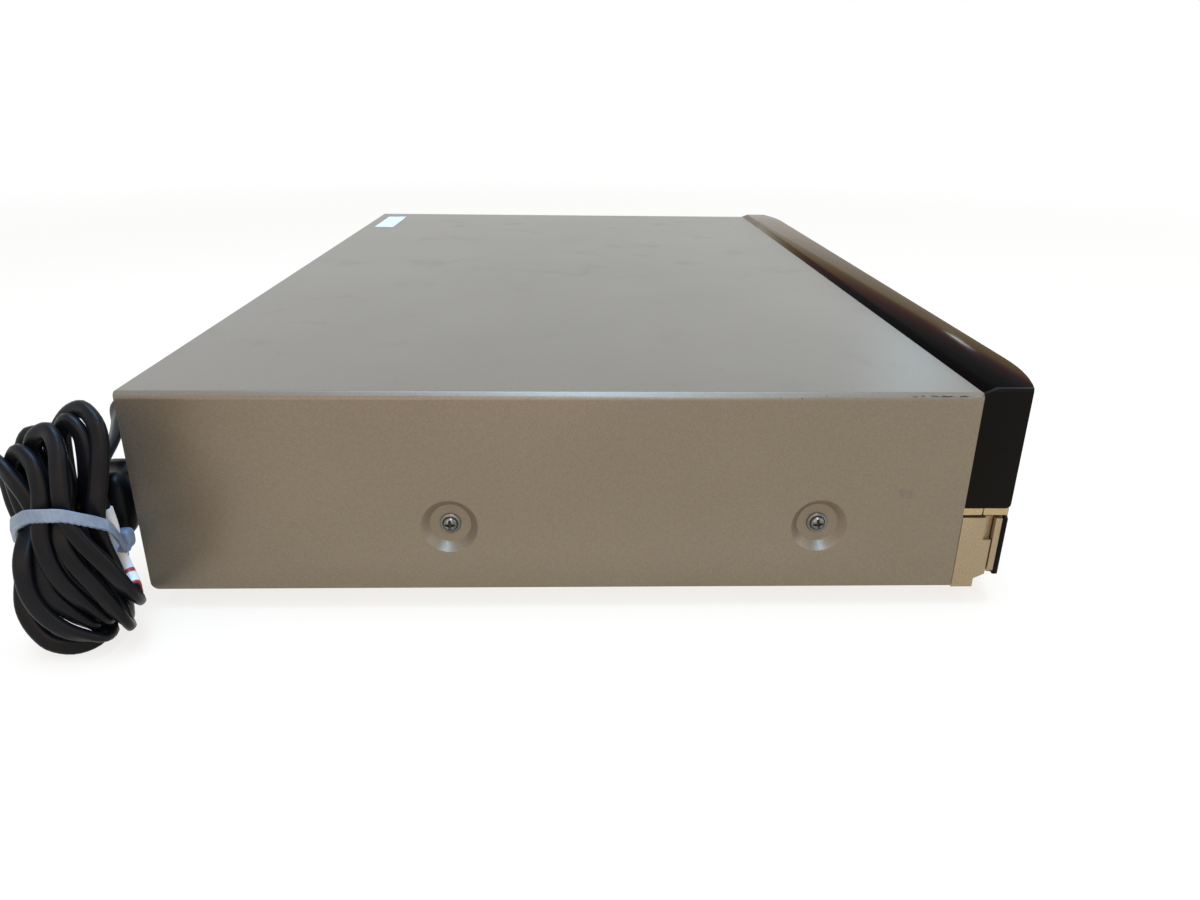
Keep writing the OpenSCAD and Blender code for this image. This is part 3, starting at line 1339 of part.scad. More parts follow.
// Block of sockets in the rear panel's window, and two threaded aerial sockets
module rear_jacks() {
    rear_y = panel_y1 + socket_len;
    half = socket_block / 2;
    nut_r = aerial_r * 1.4;
    tuner = [aerial_r * 2.6, aerial_r * 2.1];
    color([0.1, 0.1, 0.1]) {
        block([socket_x - half[0], panel_y0 - socket_block[1], socket_z - half[2]],
              [socket_x + half[0], panel_y1 + 0.5, socket_z + half[2]]);
        for (i = [0 : socket_cols - 1], j = [0 : socket_rows - 1]) {
            x = socket_x + (i - (socket_cols - 1) / 2) * socket_pitch;
            z = socket_z + (j - (socket_rows - 1) / 2) * socket_pitch;
            bar_y(panel_y1 + 0.5 - lap, panel_y1 + 1.5, x, z, socket_r + 1.4);
            barrel(x, z, socket_r, panel_y1 + 1.5 - lap, rear_y, socket_len - 3);
        }
        for (z = aerial_zs) {
            barrel(aerial_x, z, aerial_r, panel_y0 - 6, rear_y, 5);
            translate([aerial_x, panel_y1, z]) rotate([-90, 0, 0]) difference() {
                cylinder(h = 2, r = nut_r, $fn = 6);
                translate([0, 0, -over]) cylinder(h = 2 + 2 * over, r = aerial_r - lap);
            }
        }
        block([aerial_x - tuner[0], panel_y0 - 6 - tuner[1], aerial_zs[0] - tuner[1]],
              [aerial_x + tuner[0], panel_y0 - 6 + lap, aerial_zs[1] + tuner[1]]);
    }
}

// ---------- mains cord ----------

// Tapered sleeve that holds the cord in the rear panel
module strain_relief() {
    tip_r = relief_r - 1.3;
    color([0.06, 0.06, 0.06]) {
        bar_y(panel_y0 - 3, panel_y1 + 2, relief_x, relief_z, relief_r);
        bar_y(panel_y0 - 5, panel_y0 - 0.2, relief_x, relief_z, relief_r + 2);
        bar_y(panel_y1 + 0.2, panel_y1 + 3, relief_x, relief_z, relief_r + 1.5);
        translate([relief_x, panel_y1 + 3 - lap, relief_z]) rotate([-90, 0, 0])
            cylinder(h = relief_len - 3 + lap, r1 = relief_r, r2 = tip_r);
    }
}

// A flat tube through points: one ring at each, square to the route
function unit(v) = v / norm(v);
function heading(p, i) = unit(p[min(i + 1, len(p) - 1)] - p[max(i - 1, 0)]);
module tube(points, width, thickness, sides = 10) {
    rings = [for (i = [0 : len(points) - 1])
        let (d = heading(points, i), across = unit(cross(d, [0, 0, 1])), up = cross(across, d))
        each [for (k = [0 : sides - 1]) points[i] + across * thickness / 2 * cos(k * 360 / sides)
              + up * width / 2 * sin(k * 360 / sides)]];
    n = len(points);
    polyhedron(points = rings, faces = concat(
        [[for (k = [0 : sides - 1]) k]],
        [[for (k = [0 : sides - 1]) (n - 1) * sides + sides - 1 - k]],
        [for (i = [0 : n - 2], k = [0 : sides - 1]) let (m = (k + 1) % sides)
            [i * sides + k, (i + 1) * sides + k, (i + 1) * sides + m, i * sides + m]]), convexity = 6);
}

module power_cord() {
    color([0.05, 0.05, 0.055]) tube(cord_route, cord_w, cord_t);
}

// Outer shape of the hank: two fans of loops on a narrow waist
module cord_hank() {
    low = [[148, 15, 14], [158, 17, 17]];
    high = [[143, 61, 11], [160, 62, 14]];
    waist_w = hank_waist_y[1] - hank_waist_y[0];
    color([0.06, 0.06, 0.065]) along_x(hank_x[0], hank_x[1]) {
        for (lobe = [[low, hank_waist_z[0] - 1], [high, hank_waist_z[1]]]) hull() {
            for (c = lobe[0]) translate([c[0], c[1]]) circle(r = c[2], $fn = 32);
            translate([hank_waist_y[0], lobe[1]]) square([waist_w, 1]);
        }
        translate([hank_waist_y[0], hank_waist_z[0] - 0.5]) square([waist_w, hank_waist_z[1] - hank_waist_z[0] + 1]);
    }
}

tie_z = 40;
tie_h = 5;
tie_t = 1.2;

// Ribbed tie round the hank's waist, with its head
module cable_tie() {
    color([0.85, 0.87, 0.88]) {
        difference() {
            block([hank_x[0] - tie_t, hank_waist_y[0] - tie_t, tie_z], [hank_x[1] + tie_t, hank_waist_y[1] + tie_t,
                  tie_z + tie_h]);
            block([hank_x[0], hank_waist_y[0], tie_z - over], [hank_x[1], hank_waist_y[1], tie_z + tie_h + over]);
        }
        block([hank_x[1] - 6, hank_waist_y[0] - tie_t - 5, tie_z - 1], [hank_x[1] + 1, hank_waist_y[0] - tie_t + lap,
              tie_z + tie_h + 1]);
    }
}

// Plug with its two blades, beside the hank
module power_plug() {
    color([0.05, 0.05, 0.05]) {
        block(plug_at - plug_size / 2, plug_at + plug_size / 2);
        for (s = [-1, 1])
            translate(plug_at + [plug_size[0] / 2 - lap, s * blade_pitch / 2 - blade[1] / 2, -blade[2] / 2])
                cube(blade);
    }
}

// Blank paper sleeve round one strand of the hank
module cord_label() {
    color([0.92, 0.92, 0.9]) block([hank_x[0] - 1.2, 136, 12], [hank_x[0], 143, 34]);
}

top_cover();
chassis_base();
rear_panel();
feet();
cover_screws();
cover_label();
front_bezel();
trim_band();
lower_bezel();
lower_fascia();
display_window();
tape_door();
jack_door();
door_face();
front_jacks();
front_boards();
power_button();
eject_button(disc_eject_z);  // disc_eject_button
eject_button(tape_eject_z);  // tape_eject_button
transport_button(0);  // stop_button
transport_button(1);  // play_button
transport_button(2);  // rewind_button
transport_button(3);  // forward_button
disc_tray();
tray_front();
loader_frame();
clamp_bridge();
disc_clamp();
traverse_deck();
traverse_motors();
sled_rods();
turntable();
pickup_sled();
lead_screw();
tray_gear();
loading_motor();
motor_pulley();
drive_belt();
deck_plate();
lower_drum();
head_drum();
capstan();
pinch_arm();
pinch_roller();
reel(-1);  // supply_reel
reel(1);  // takeup_reel
cassette_holder();
tape_guide(-1);  // supply_guide
tape_guide(1);  // takeup_guide
main_board();
main_parts();
power_board();
power_parts();
rear_jacks();
strain_relief();
power_cord();
cord_hank();
cable_tie();
power_plug();
cord_label();
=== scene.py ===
import json
import math
import bmesh
import bpy
import numpy as np
from mathutils import Matrix, Quaternion, Vector

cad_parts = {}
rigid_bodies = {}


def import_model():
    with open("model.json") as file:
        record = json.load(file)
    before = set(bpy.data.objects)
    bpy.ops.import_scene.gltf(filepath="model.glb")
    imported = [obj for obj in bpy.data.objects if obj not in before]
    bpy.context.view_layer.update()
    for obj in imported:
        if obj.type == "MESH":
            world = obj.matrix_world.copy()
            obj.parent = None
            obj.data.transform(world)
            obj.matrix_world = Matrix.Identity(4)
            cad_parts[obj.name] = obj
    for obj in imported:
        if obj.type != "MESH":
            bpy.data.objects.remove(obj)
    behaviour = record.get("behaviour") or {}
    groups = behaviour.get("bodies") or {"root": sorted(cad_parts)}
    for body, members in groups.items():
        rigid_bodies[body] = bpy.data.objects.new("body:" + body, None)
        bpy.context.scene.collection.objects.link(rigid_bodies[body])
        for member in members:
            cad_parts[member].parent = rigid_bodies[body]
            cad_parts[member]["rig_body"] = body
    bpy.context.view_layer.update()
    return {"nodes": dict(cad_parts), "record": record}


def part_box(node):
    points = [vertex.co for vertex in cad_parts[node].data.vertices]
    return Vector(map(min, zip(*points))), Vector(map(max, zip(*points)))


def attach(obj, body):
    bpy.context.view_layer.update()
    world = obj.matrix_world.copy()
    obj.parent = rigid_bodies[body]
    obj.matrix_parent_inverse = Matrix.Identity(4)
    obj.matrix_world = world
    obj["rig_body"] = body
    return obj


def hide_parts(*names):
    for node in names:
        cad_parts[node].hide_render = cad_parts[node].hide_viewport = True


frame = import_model()
nodes = frame["nodes"]
mm = 0.001


# a socket that can be reckoned with
class Sig:
    def __init__(self, tree, socket):
        self.tree, self.socket = tree, socket

    def node(self, kind, inputs, **settings):
        n = self.tree.nodes.new("ShaderNode" + kind)
        for key, value in settings.items():
            setattr(n, key, value)
        for key, value in inputs.items():
            plug(self.tree, value, n.inputs[key])
        return Sig(self.tree, n.outputs[0])

    def math(self, operation, *values):
        n = self.tree.nodes.new("ShaderNodeMath")
        n.operation = operation
        for i, value in enumerate(values):
            plug(self.tree, value, n.inputs[i])
        return Sig(self.tree, n.outputs[0])

    def __add__(self, other):
        return self.math("ADD", self, other)

    def __radd__(self, other):
        return self.math("ADD", other, self)

    def __sub__(self, other):
        return self.math("SUBTRACT", self, other)

    def __rsub__(self, other):
        return self.math("SUBTRACT", other, self)

    def __mul__(self, other):
        return self.math("MULTIPLY", self, other)

    def __rmul__(self, other):
        return self.math("MULTIPLY", other, self)

    def __truediv__(self, other):
        return self.math("DIVIDE", self, other)

    def __neg__(self):
        return self.math("MULTIPLY", self, -1.0)

    # 0 below low, 1 above high, smooth between
    def step(self, low, high):
        inputs = {"Value": self, "From Min": low, "From Max": high}
        return self.node("MapRange", inputs, interpolation_type="SMOOTHSTEP")

    def between(self, low, high, soft):
        return self.step(low - soft, low) * (1 - self.step(high, high + soft))

    def size(self):
        return self.math("ABSOLUTE", self)

    def root(self):
        return self.math("SQRT", self)

    def top(self, other):
        return self.math("MAXIMUM", self, other)

    # mixes two colours by this value
    def ramp(self, dark, light):
        n = self.tree.nodes.new("ShaderNodeMix")
        n.data_type = "RGBA"
        plug(self.tree, self, n.inputs[0])
        plug(self.tree, dark, n.inputs[6])
        plug(self.tree, light, n.inputs[7])
        return Sig(self.tree, n.outputs[2])


def plug(tree, value, socket):
    if isinstance(value, Sig):
        tree.links.new(value.socket, socket)
    elif isinstance(value, tuple) and len(value) == 3 and socket.type == "RGBA":
        socket.default_value = (*value, 1)
    else:
        socket.default_value = value


# 1 for the rays that see the background: from the camera, off gloss and through glass
def seenPlainly(tree):
    path = tree.nodes.new("ShaderNodeLightPath")
    rays = [Sig(tree, path.outputs[k]) for k in ("Is Camera Ray", "Is Glossy Ray", "Is Transmission Ray")]
    return rays[0].top(rays[1]).top(rays[2])


# a principled material whose place signals are in millimetres
class Paint:
    def __init__(self, name):
        self.material = bpy.data.materials.new(name)
        self.material.use_nodes = True
        self.tree = self.material.node_tree
        self.shader = self.tree.nodes["Principled BSDF"]
        coord = self.tree.nodes.new("ShaderNodeTexCoord")
        self.place = Sig(self.tree, coord.outputs["Object"])
        parts = self.tree.nodes.new("ShaderNodeSeparateXYZ")
        self.tree.links.new(coord.outputs["Object"], parts.inputs[0])
        self.x, self.y, self.z = (Sig(self.tree, parts.outputs[i]) / mm for i in range(3))

    # noise whose features are about size millimetres
    def noise(self, size, detail=2.0, stretch=None, offset=0.0):
        place = self.place
        if stretch or offset:
            shift = {"Scale": stretch or (1, 1, 1), "Location": (offset,) * 3}
            place = place.node("Mapping", {"Vector": place, **shift})
        return place.node("TexNoise", {"Vector": place, "Scale": 1 / (size * mm), "Detail": detail})

    def attribute(self, name):
        n = self.tree.nodes.new("ShaderNodeAttribute")
        n.attribute_name = name
        return Sig(self.tree, n.outputs["Fac"])

    # distance is the full height in millimetres
    def bump(self, height, distance, strength=1.0):
        n = height.node("Bump", {"Height": height, "Distance": distance * mm, "Strength": strength})
        plug(self.tree, n, self.shader.inputs["Normal"])

    def set(self, **values):
        names = {"base": "Base Color", "rough": "Roughness", "metal": "Metallic", "coat": "Coat Weight",
                 "specular": "Specular IOR Level", "under": "Subsurface Weight"}
        for key, value in values.items():
            plug(self.tree, value, self.shader.inputs[names[key]])


# darker and lighter shades of a colour
def shades(colour, low, high):
    return tuple(tuple(min(1, v * k) for v in colour) for k in (low, high))


# soft patches of two colours; size in millimetres
def mottled(p, size, dark, light, detail=3):
    return p.noise(size, detail).step(0.3, 0.7).ramp(dark, light)


camera = {
    "place": (-476.94, 2.91, 164.19),
    "right": (-0.03043512, -0.99945837, 0.01251646),
    "up": (0.374841129, 0.000195648, 0.927089041),
    "lens": 26.55,
    "sensor": 36,
    "clip": (0.01, 50),
}


def makeCamera(c):
    data = bpy.data.cameras.new("camera")
    data.lens, data.sensor_width = c["lens"], c["sensor"]
    data.clip_start, data.clip_end = c["clip"]
    obj = bpy.data.objects.new("camera", data)
    bpy.context.scene.collection.objects.link(obj)
    right, up = Vector(c["right"]), Vector(c["up"])
    obj.matrix_world = Matrix((right, up, right.cross(up))).transposed().to_4x4()
    obj.location = Vector(c["place"]) * mm
    bpy.context.scene.camera = obj


makeCamera(camera)

# place, aim and size in metres; power in watts
lamps = {
    "overhead": {"place": (-0.05, -0.05, 1.7), "aim": (-0.05, -0.05, 0), "size": (1.15, 1.6),
                 "power": 27, "colour": (0.62, 0.96, 1.52)},
    "slope": {"place": (-0.95, -0.11, 1.7), "aim": (-0.215, -0.015, 0.03), "size": (0.3, 2.0),
              "power": 25, "colour": (0.46, 0.88, 1.45)},
    "streak": {"place": (1.9, -1.215, 0.7), "aim": (-0.16, -0.144, 0.078), "size": (0.055, 0.19),
               "turn": 30, "power": 0.5, "colour": (0.5, 0.95, 1.25)},
    "fill": {"place": (-1.4, 0.25, 0.5), "aim": (0, 0, 0.03), "size": (1.5, 1.0),
             "power": 8, "colour": (1, 0.62, 0.27)},
    "front": {"place": (-0.3, -1.6, 0.7), "aim": (0, 0, 0.03), "size": (1.6, 0.9),
              "power": 8, "colour": (1, 0.94, 0.84)},
}
ambient = {"colour": (0.6, 0.45, 0.29), "strength": 0.6}


def makeLamp(name, l):
    data = bpy.data.lights.new(name, "AREA")
    data.shape = "RECTANGLE"
    data.size, data.size_y = l["size"]
    data.energy, data.color = l["power"], l["colour"]
    obj = bpy.data.objects.new(name, data)
    bpy.context.scene.collection.objects.link(obj)
    place = Vector(l["place"])
    obj.location = place
    obj.rotation_mode = "QUATERNION"
    turn = Quaternion((0, 0, 1), math.radians(l.get("turn", 0)))
    obj.rotation_quaternion = (Vector(l["aim"]) - place).to_track_quat("-Z", "Y") @ turn
    obj.visible_camera = False


# a white background that lights the object with the ambient colour
def makeWorld(a):
    world = bpy.data.worlds.new("studio")
    bpy.context.scene.world = world
    world.use_nodes = True
    tree = world.node_tree
    tree.nodes.clear()
    seen = tree.nodes.new("ShaderNodeBackground")
    seen.inputs["Color"].default_value = (1, 1, 1, 1)
    lit = tree.nodes.new("ShaderNodeBackground")
    lit.inputs["Color"].default_value = (*a["colour"], 1)
    lit.inputs["Strength"].default_value = a["strength"]
    mix = tree.nodes.new("ShaderNodeMixShader")
    out = tree.nodes.new("ShaderNodeOutputWorld")
    plug(tree, seenPlainly(tree), mix.inputs[0])
    tree.links.new(lit.outputs[0], mix.inputs[1])
    tree.links.new(seen.outputs[0], mix.inputs[2])
    tree.links.new(mix.outputs[0], out.inputs[0])


for name, lamp in lamps.items():
    makeLamp(name, lamp)
makeWorld(ambient)
bpy.context.scene.view_settings.view_transform = "Standard"

# how much of the floor is plain white near the object, and where it is all white, in millimetres
floorLook = {"near": 0.78, "from": 550, "to": 1500, "half": 6000,
             "base": (0.93, 0.77, 0.54), "rough": 0.9, "specular": 0.1}


def makeFloor(f):
    mesh = bpy.data.meshes.new("floor")
    half = f["half"] * mm
    corners = [(-half, -half, 0), (half, -half, 0), (half, half, 0), (-half, half, 0)]
    mesh.from_pydata(corners, [], [(0, 1, 2, 3)])
    obj = bpy.data.objects.new("floor", mesh)
    bpy.context.scene.collection.objects.link(obj)
    p = Paint("floorPaint")
    p.set(base=f["base"], rough=f["rough"], specular=f["specular"])
    away = (p.x * p.x + p.y * p.y).root()
    plain = seenPlainly(p.tree) * (f["near"] + (1 - f["near"]) * away.step(f["from"], f["to"]))
    glow = p.tree.nodes.new("ShaderNodeEmission")
    mix = p.tree.nodes.new("ShaderNodeMixShader")
    plug(p.tree, plain, mix.inputs[0])
    p.tree.links.new(p.shader.outputs[0], mix.inputs[1])
    p.tree.links.new(glow.outputs[0], mix.inputs[2])
    p.tree.links.new(mix.outputs[0], p.tree.nodes["Material Output"].inputs["Surface"])
    mesh.materials.append(p.material)


makeFloor(floorLook)
print("stage ready")


# a moulded or metal surface: slight mottling, uneven gloss and a fine grain, in millimetres
def plain(name, base, rough, metal=0.0, grain=0.5, depth=0.02, shade=0.12, **more):
    p = Paint(name)
    mottleSize, glossSize = grain * 30, grain * 12
    p.set(base=mottled(p, mottleSize, *shades(base, 1 - shade, 1 + shade)), metal=metal, **more)
    p.set(rough=rough * (0.88 + 0.24 * p.noise(glossSize, 2, offset=0.3)))
    p.bump(p.noise(grain, 2), depth)
    return p.material


# the cover's right side and its top, in millimetres
coverSide, _, coverTop = (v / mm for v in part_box("top_cover")[1])
# ranges in millimetres: chips and specks beside the bend, two rubbed spots, the bend's own width
coverLook = {
    "silver": (0.188, 0.154, 0.111), "metal": 0.42, "rough": 0.38, "specular": 0.25,
    "flake": 0.34, "cloud": 60,
    "chip": (0.012, 0.011, 0.011), "chipAlong": (-122, -106), "chipUp": (76.3, 76.62),
    "speckAlong": (-100, -60), "speckUp": (75.6, 76.9),
    "rub": (0.1, 0.095, 0.09), "rubAlong": ((-109.5, -108), (-106.8, -105.5)), "rubUp": (41.4, 43.9),
    "fold": 28, "foldWide": 2.4, "foldFrom": 60, "grain": 0.035,
}


# silver metallic paint: fine flakes, cloudy gloss, chips along the bend and two rubbed spots
def coverPaint(c):
    p = Paint("coverPaint")
    flake = p.noise(c["flake"], 1)
    cloud = p.noise(c["cloud"], 3)
    base = (flake * 0.75 + cloud * 0.25).step(0.35, 0.65).ramp(*shades(c["silver"], 0.9, 1.1))
    # chips and specks in the paint, on the left side only
    ragged = p.z + 0.9 * (p.noise(1.1, 3) - 0.5)
    edge = p.x.step(2 - coverSide, 1.2 - coverSide) * ragged.between(*c["chipUp"], 0.1)
    patch = p.noise(1.5, 3, (1, 0.3, 1)).step(0.47, 0.53) * p.noise(7, 2, offset=4.0).step(0.36, 0.46)
    dot = p.noise(0.8, 2, offset=7.0).step(0.7, 0.73)
    speck = dot * ragged.between(*c["speckUp"], 0.3) * p.x.step(2.5 - coverSide, 1.5 - coverSide)
    chip = (edge * patch * p.y.between(*c["chipAlong"], 2)).top(speck * p.y.between(*c["speckAlong"], 20))
    # the rubbed spots
    spots = p.y.between(*c["rubAlong"][0], 0.5) + p.y.between(*c["rubAlong"][1], 0.5)
    worn = p.noise(0.7, 3, (1, 1, 0.4)).step(0.3, 0.7)
    rub = spots * p.z.between(*c["rubUp"], 0.9) * p.x.step(2 - coverSide, 0.5 - coverSide) * worn
    base = (rub * 0.42).ramp(base, c["rub"])
    p.set(base=chip.ramp(base, c["chip"]), metal=c["metal"] * (1 - chip), specular=c["specular"])
    wear = p.noise(22, 4, offset=2.0).step(0.55, 0.8)
    p.set(rough=c["rough"] + 0.07 * (flake - 0.5) + 0.06 * wear + 0.2 * chip)
    # the bend between roof and side looks foldWide wide; the dimples below foldFrom keep their shape
    wide = c["foldWide"]
    inward = p.x.size().step(coverSide - wide, coverSide) - 1
    fold = p.z.step(coverTop - wide, coverTop) + inward * p.z.step(c["foldFrom"], c["foldFrom"] + 2)
    p.bump(flake * 0.8 + p.noise(1.6, 2) * 0.5 - chip * 1.2 - fold * c["fold"], c["grain"], 0.75)
    return p.material


# dust on the black, and the painted reflection on its upper face: a warm metal tint that stands in for a
# warm room seen in it
glossLook = {"dust": (0.06, 0.05, 0.045), "specular": 0.09, "paintedReflectionTint": (0.44, 0.36, 0.27), "paintedReflectionMetal": 0.85}


# piano black with dust and faint wipe marks; the upper face, from the given height up, gets a painted warm
# reflection
def glossBlack(name="glossBlack", rough=0.1, base=(0.0055, 0.005, 0.0048), paintedReflectionFrom=999.0):
    p = Paint(name)
    dust = p.noise(0.9, 2).step(0.74, 0.8)
    wipe = p.noise(16, 4, (0.25, 1, 1)).step(0.45, 0.75)
    p.set(base=(dust * 0.25).ramp(base, glossLook["dust"]), rough=rough + 0.07 * wipe + 0.2 * dust)
    # painted reflection: the upper face is made a warm-tinted metal so that it shows a warm, dim reflection
    paintedReflection = p.z.step(paintedReflectionFrom - 0.2, paintedReflectionFrom) * p.x.between(1.8 - coverSide, coverSide - 1.8, 0.3)
    p.set(specular=glossLook["specular"], metal=paintedReflection * glossLook["paintedReflectionMetal"])
    p.shader.inputs["Specular Tint"].default_value = (*glossLook["paintedReflectionTint"], 1)
    p.bump(p.noise(60, 1), 0.02, 0.4)
    return p.material


def champagne(name="champagne", base=(0.305, 0.228, 0.135), rough=0.27, metal=0.72):
    p = Paint(name)
    fleck = p.noise(0.35, 1)
    p.set(base=fleck.step(0.3, 0.7).ramp(*shades(base, 0.88, 1.1)), metal=metal, coat=0.3)
    p.set(rough=rough + 0.1 * p.noise(9, 3).step(0.4, 0.8) + 0.05 * fleck)
    p.bump(fleck * 0.5 + p.noise(25, 2), 0.02, 0.5)
    return p.material


# the zinc's two shades, and the near-black of the painted shade in the screws' recesses and gaps
zincLook = {"dark": (0.12, 0.12, 0.116), "light": (0.18, 0.18, 0.172), "paintedShade": (0.014, 0.011, 0.008)}


# plated steel; where the mesh's shade attribute is 1 it gets painted shade, near-black, rough and not
# metal: the cross recess, the dome's rim and the flange's foot
def screwZinc(c):
    p = Paint("screwZinc")
    paintedShade = p.attribute("paintedShade").step(0.25, 0.8)
    p.set(base=paintedShade.ramp(mottled(p, 6, c["dark"], c["light"]), c["paintedShade"]), metal=1 - paintedShade)
    p.set(rough=0.22 + 0.05 * p.noise(2, 2) + 0.4 * paintedShade)
    p.bump(p.noise(0.4, 2), 0.015)
    return p.material


# the keys, the two eject buttons and the power button, all with a mark
keyNames = ("stop_button", "play_button", "rewind_button", "forward_button",
            "disc_eject_button", "tape_eject_button", "power_button")


# the middle of a node's box and its front face, in millimetres
def middleOf(name):
    low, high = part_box(name)
    return [(a + b) / 2 / mm for a, b in zip(low, high)]


def frontOf(name):
    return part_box(name)[0][1] / mm


# the marks' half sizes and places in millimetres; an arrow has a half length and a half width
markLook = {
    "stop": (1.25, 1.25), "play": (1.3, 1.5), "pair": (1.1, 1.4), "ahead": 1.3, "behind": 0.9,
    "ring": (1.7, 2.05), "gap": (0.75, 1.5), "bar": (0.18, 1.1), "barUp": 1.35,
    "eject": (0.85, 1.5), "ejectUp": 0.55, "line": (1.5, 0.28), "lineDown": 1.15,
    "soft": 0.05, "deep": 0.2,
}


# a triangle that points along
def arrow(along, across, tip, half):
    soft = markLook["soft"]
    edge = half * (tip - along) / (2 * tip) - across.size()
    return edge.step(-soft, soft) * along.step(-tip - soft, -tip + soft)


def oblong(u, v, wide, tall):
    soft = markLook["soft"]
    return u.between(-wide, wide, soft) * v.between(-tall, tall, soft)


# the mark on a button's front face
def markOn(p, name, m):
    u, v = p.x - middleOf(name)[0], p.z - middleOf(name)[2]
    if name == "stop_button":
        shape = oblong(u, v, *m["stop"])
    elif name == "play_button":
        shape = arrow(u, v, *m["play"])
    elif name == "rewind_button":
        shape = arrow(-u - m["ahead"], v, *m["pair"]).top(arrow(m["behind"] - u, v, *m["pair"]))
    elif name == "forward_button":
        shape = arrow(u - m["ahead"], v, *m["pair"]).top(arrow(u + m["behind"], v, *m["pair"]))
    elif name == "power_button":
        far = (u * u + v * v).root()
        gap = oblong(u, v - m["gap"][1], *m["gap"])
        bar = oblong(u, v - m["barUp"], *m["bar"])
        shape = (far.between(*m["ring"], m["soft"]) * (1 - gap)).top(bar)
    else:
        line = oblong(u, v + m["lineDown"], *m["line"])
        shape = arrow(v - m["ejectUp"], u, *m["eject"]).top(line)
    deepest = frontOf(name) + m["deep"]
    return shape * (1 - p.y.step(deepest - m["soft"], deepest + m["soft"]))


# a key's body in its two shades, and its printed mark
keyLook = {
    "black": ((0.005, 0.005, 0.005), (0.009, 0.008, 0.008)), "paleMark": (0.5, 0.49, 0.47),
    "champagne": ((0.27, 0.2, 0.12), (0.335, 0.25, 0.15)), "darkMark": (0.015, 0.013, 0.012),
    "metal": 0.72,
}


# a black button with a pale printed mark
def blackKey(name, c):
    p = Paint(name + "Paint")
    printed = markOn(p, name, markLook)
    p.set(base=printed.ramp(mottled(p, 12, *c["black"]), c["paleMark"]), specular=0.12)
    p.set(rough=0.16 + 0.06 * p.noise(5, 3) + 0.25 * printed)
    p.bump(printed, 0.02, 0.3)
    return p.material


# a champagne key with a dark printed mark
def champagneKey(name, c):
    p = Paint(name + "Paint")
    fleck = p.noise(0.35, 1)
    printed = markOn(p, name, markLook)
    body = fleck.step(0.3, 0.7).ramp(*c["champagne"])
    p.set(base=printed.ramp(body, c["darkMark"]), metal=c["metal"] * (1 - printed))
    p.set(rough=0.28 + 0.08 * p.noise(9, 3) + 0.15 * printed)
    p.bump(fleck * 0.5 + p.noise(25, 2), 0.02, 0.5)
    return p.material


# phono sockets: first place, pitch, the insulators' colours by row or column
rearSockets = {
    "first": (-17, 28), "pitch": 14, "bore": 2.0, "ring": 3.2, "rim": 4.6, "face": 148.2,
    "rows": ((0.3, 0.012, 0.01), (0.6, 0.58, 0.54), (0.55, 0.4, 0.02)),
    "video": ((0.3, 0.012, 0.01), (0.02, 0.05, 0.3), (0.02, 0.2, 0.05)),
    "audioColumns": 4, "aerialsFrom": 80, "barrelsFrom": 143.4,
}


# the distance to the nearest socket's middle along one way
def toNearest(value, pitch):
    return value.math("WRAP", value, pitch / 2, -pitch / 2)


# 0 before and 1 past the middle between two sockets
def past(value, pitch, count):
    border = (count - 0.5) * pitch
    return value.step(border - 0.1, border + 0.1)


# black blocks: phono barrels with bright rims and coloured insulators, bright aerial barrels
def rearSocketPaint(c):
    p = Paint("rearSocketPaint")
    pitch = c["pitch"]
    column, level = p.x - c["first"][0], p.z - c["first"][1]
    u, v = toNearest(column, pitch), toNearest(level, pitch)
    far = (u * u + v * v).root()
    aerials = p.x.step(c["aerialsFrom"], c["aerialsFrom"] + 1)
    phono = 1 - aerials
    tints = [past(level, pitch, 1).ramp(k[0], past(level, pitch, 2).ramp(k[1], k[2]))
             for k in (c["rows"], c["video"])]
    tint = past(column, pitch, c["audioColumns"]).ramp(*tints)
    out = p.y.step(c["face"] - 0.2, c["face"])
    rim = out * phono * far.between(c["ring"], c["rim"], 0.08)
    bright = rim.top(aerials * p.y.step(c["barrelsFrom"], c["barrelsFrom"] + 0.1))
    seat = out * phono * far.between(c["bore"], c["ring"], 0.08)
    black = mottled(p, 12, (0.02, 0.02, 0.021), (0.032, 0.032, 0.034))
    nickel = mottled(p, 5, (0.5, 0.49, 0.46), (0.62, 0.61, 0.58), 2)
    p.set(base=bright.ramp(seat.ramp(black, tint), nickel), metal=bright)
    p.set(rough=0.42 - 0.16 * bright + 0.06 * p.noise(3, 2))
    p.bump(p.noise(0.5, 2), 0.02)
    return p.material


frontSockets = {"first": -173, "pitch": 14, "z": 23, "ring": 3.32, "bore": 1.7, "seatTo": -133.4,
                "tints": ((0.6, 0.42, 0.02), (0.62, 0.6, 0.56), (0.35, 0.012, 0.01), (0.02, 0.06, 0.3))}


# gold barrels with yellow, white, red and blue insulators, and painted shade in their bores
def frontSocketPaint(c):
    p = Paint("frontSocketPaint")
    place = p.x - c["first"]
    u, v = toNearest(place, c["pitch"]), p.z - c["z"]
    far = (u * u + v * v).root()
    tint = c["tints"][3]
    for count in (3, 2, 1):
        tint = past(place, c["pitch"], count).ramp(c["tints"][count - 1], tint)
    within = {k: 1 - far.step(c[k] - 0.04, c[k] + 0.04) for k in ("ring", "bore")}
    seat = within["ring"] * (1 - p.y.step(c["seatTo"], c["seatTo"] + 0.1))
    gold = mottled(p, 6, (0.6, 0.44, 0.19), (0.72, 0.55, 0.25), 2)
    # painted shade: inside the bore the insulator is near-black and not metal
    p.set(base=(seat * within["bore"]).ramp(seat.ramp(gold, tint), (0.05, 0.04, 0.03)), metal=1 - seat)
    p.set(rough=0.24 + 0.16 * seat + 0.06 * p.noise(3, 2))
    p.bump(p.noise(0.5, 2), 0.015)
    return p.material


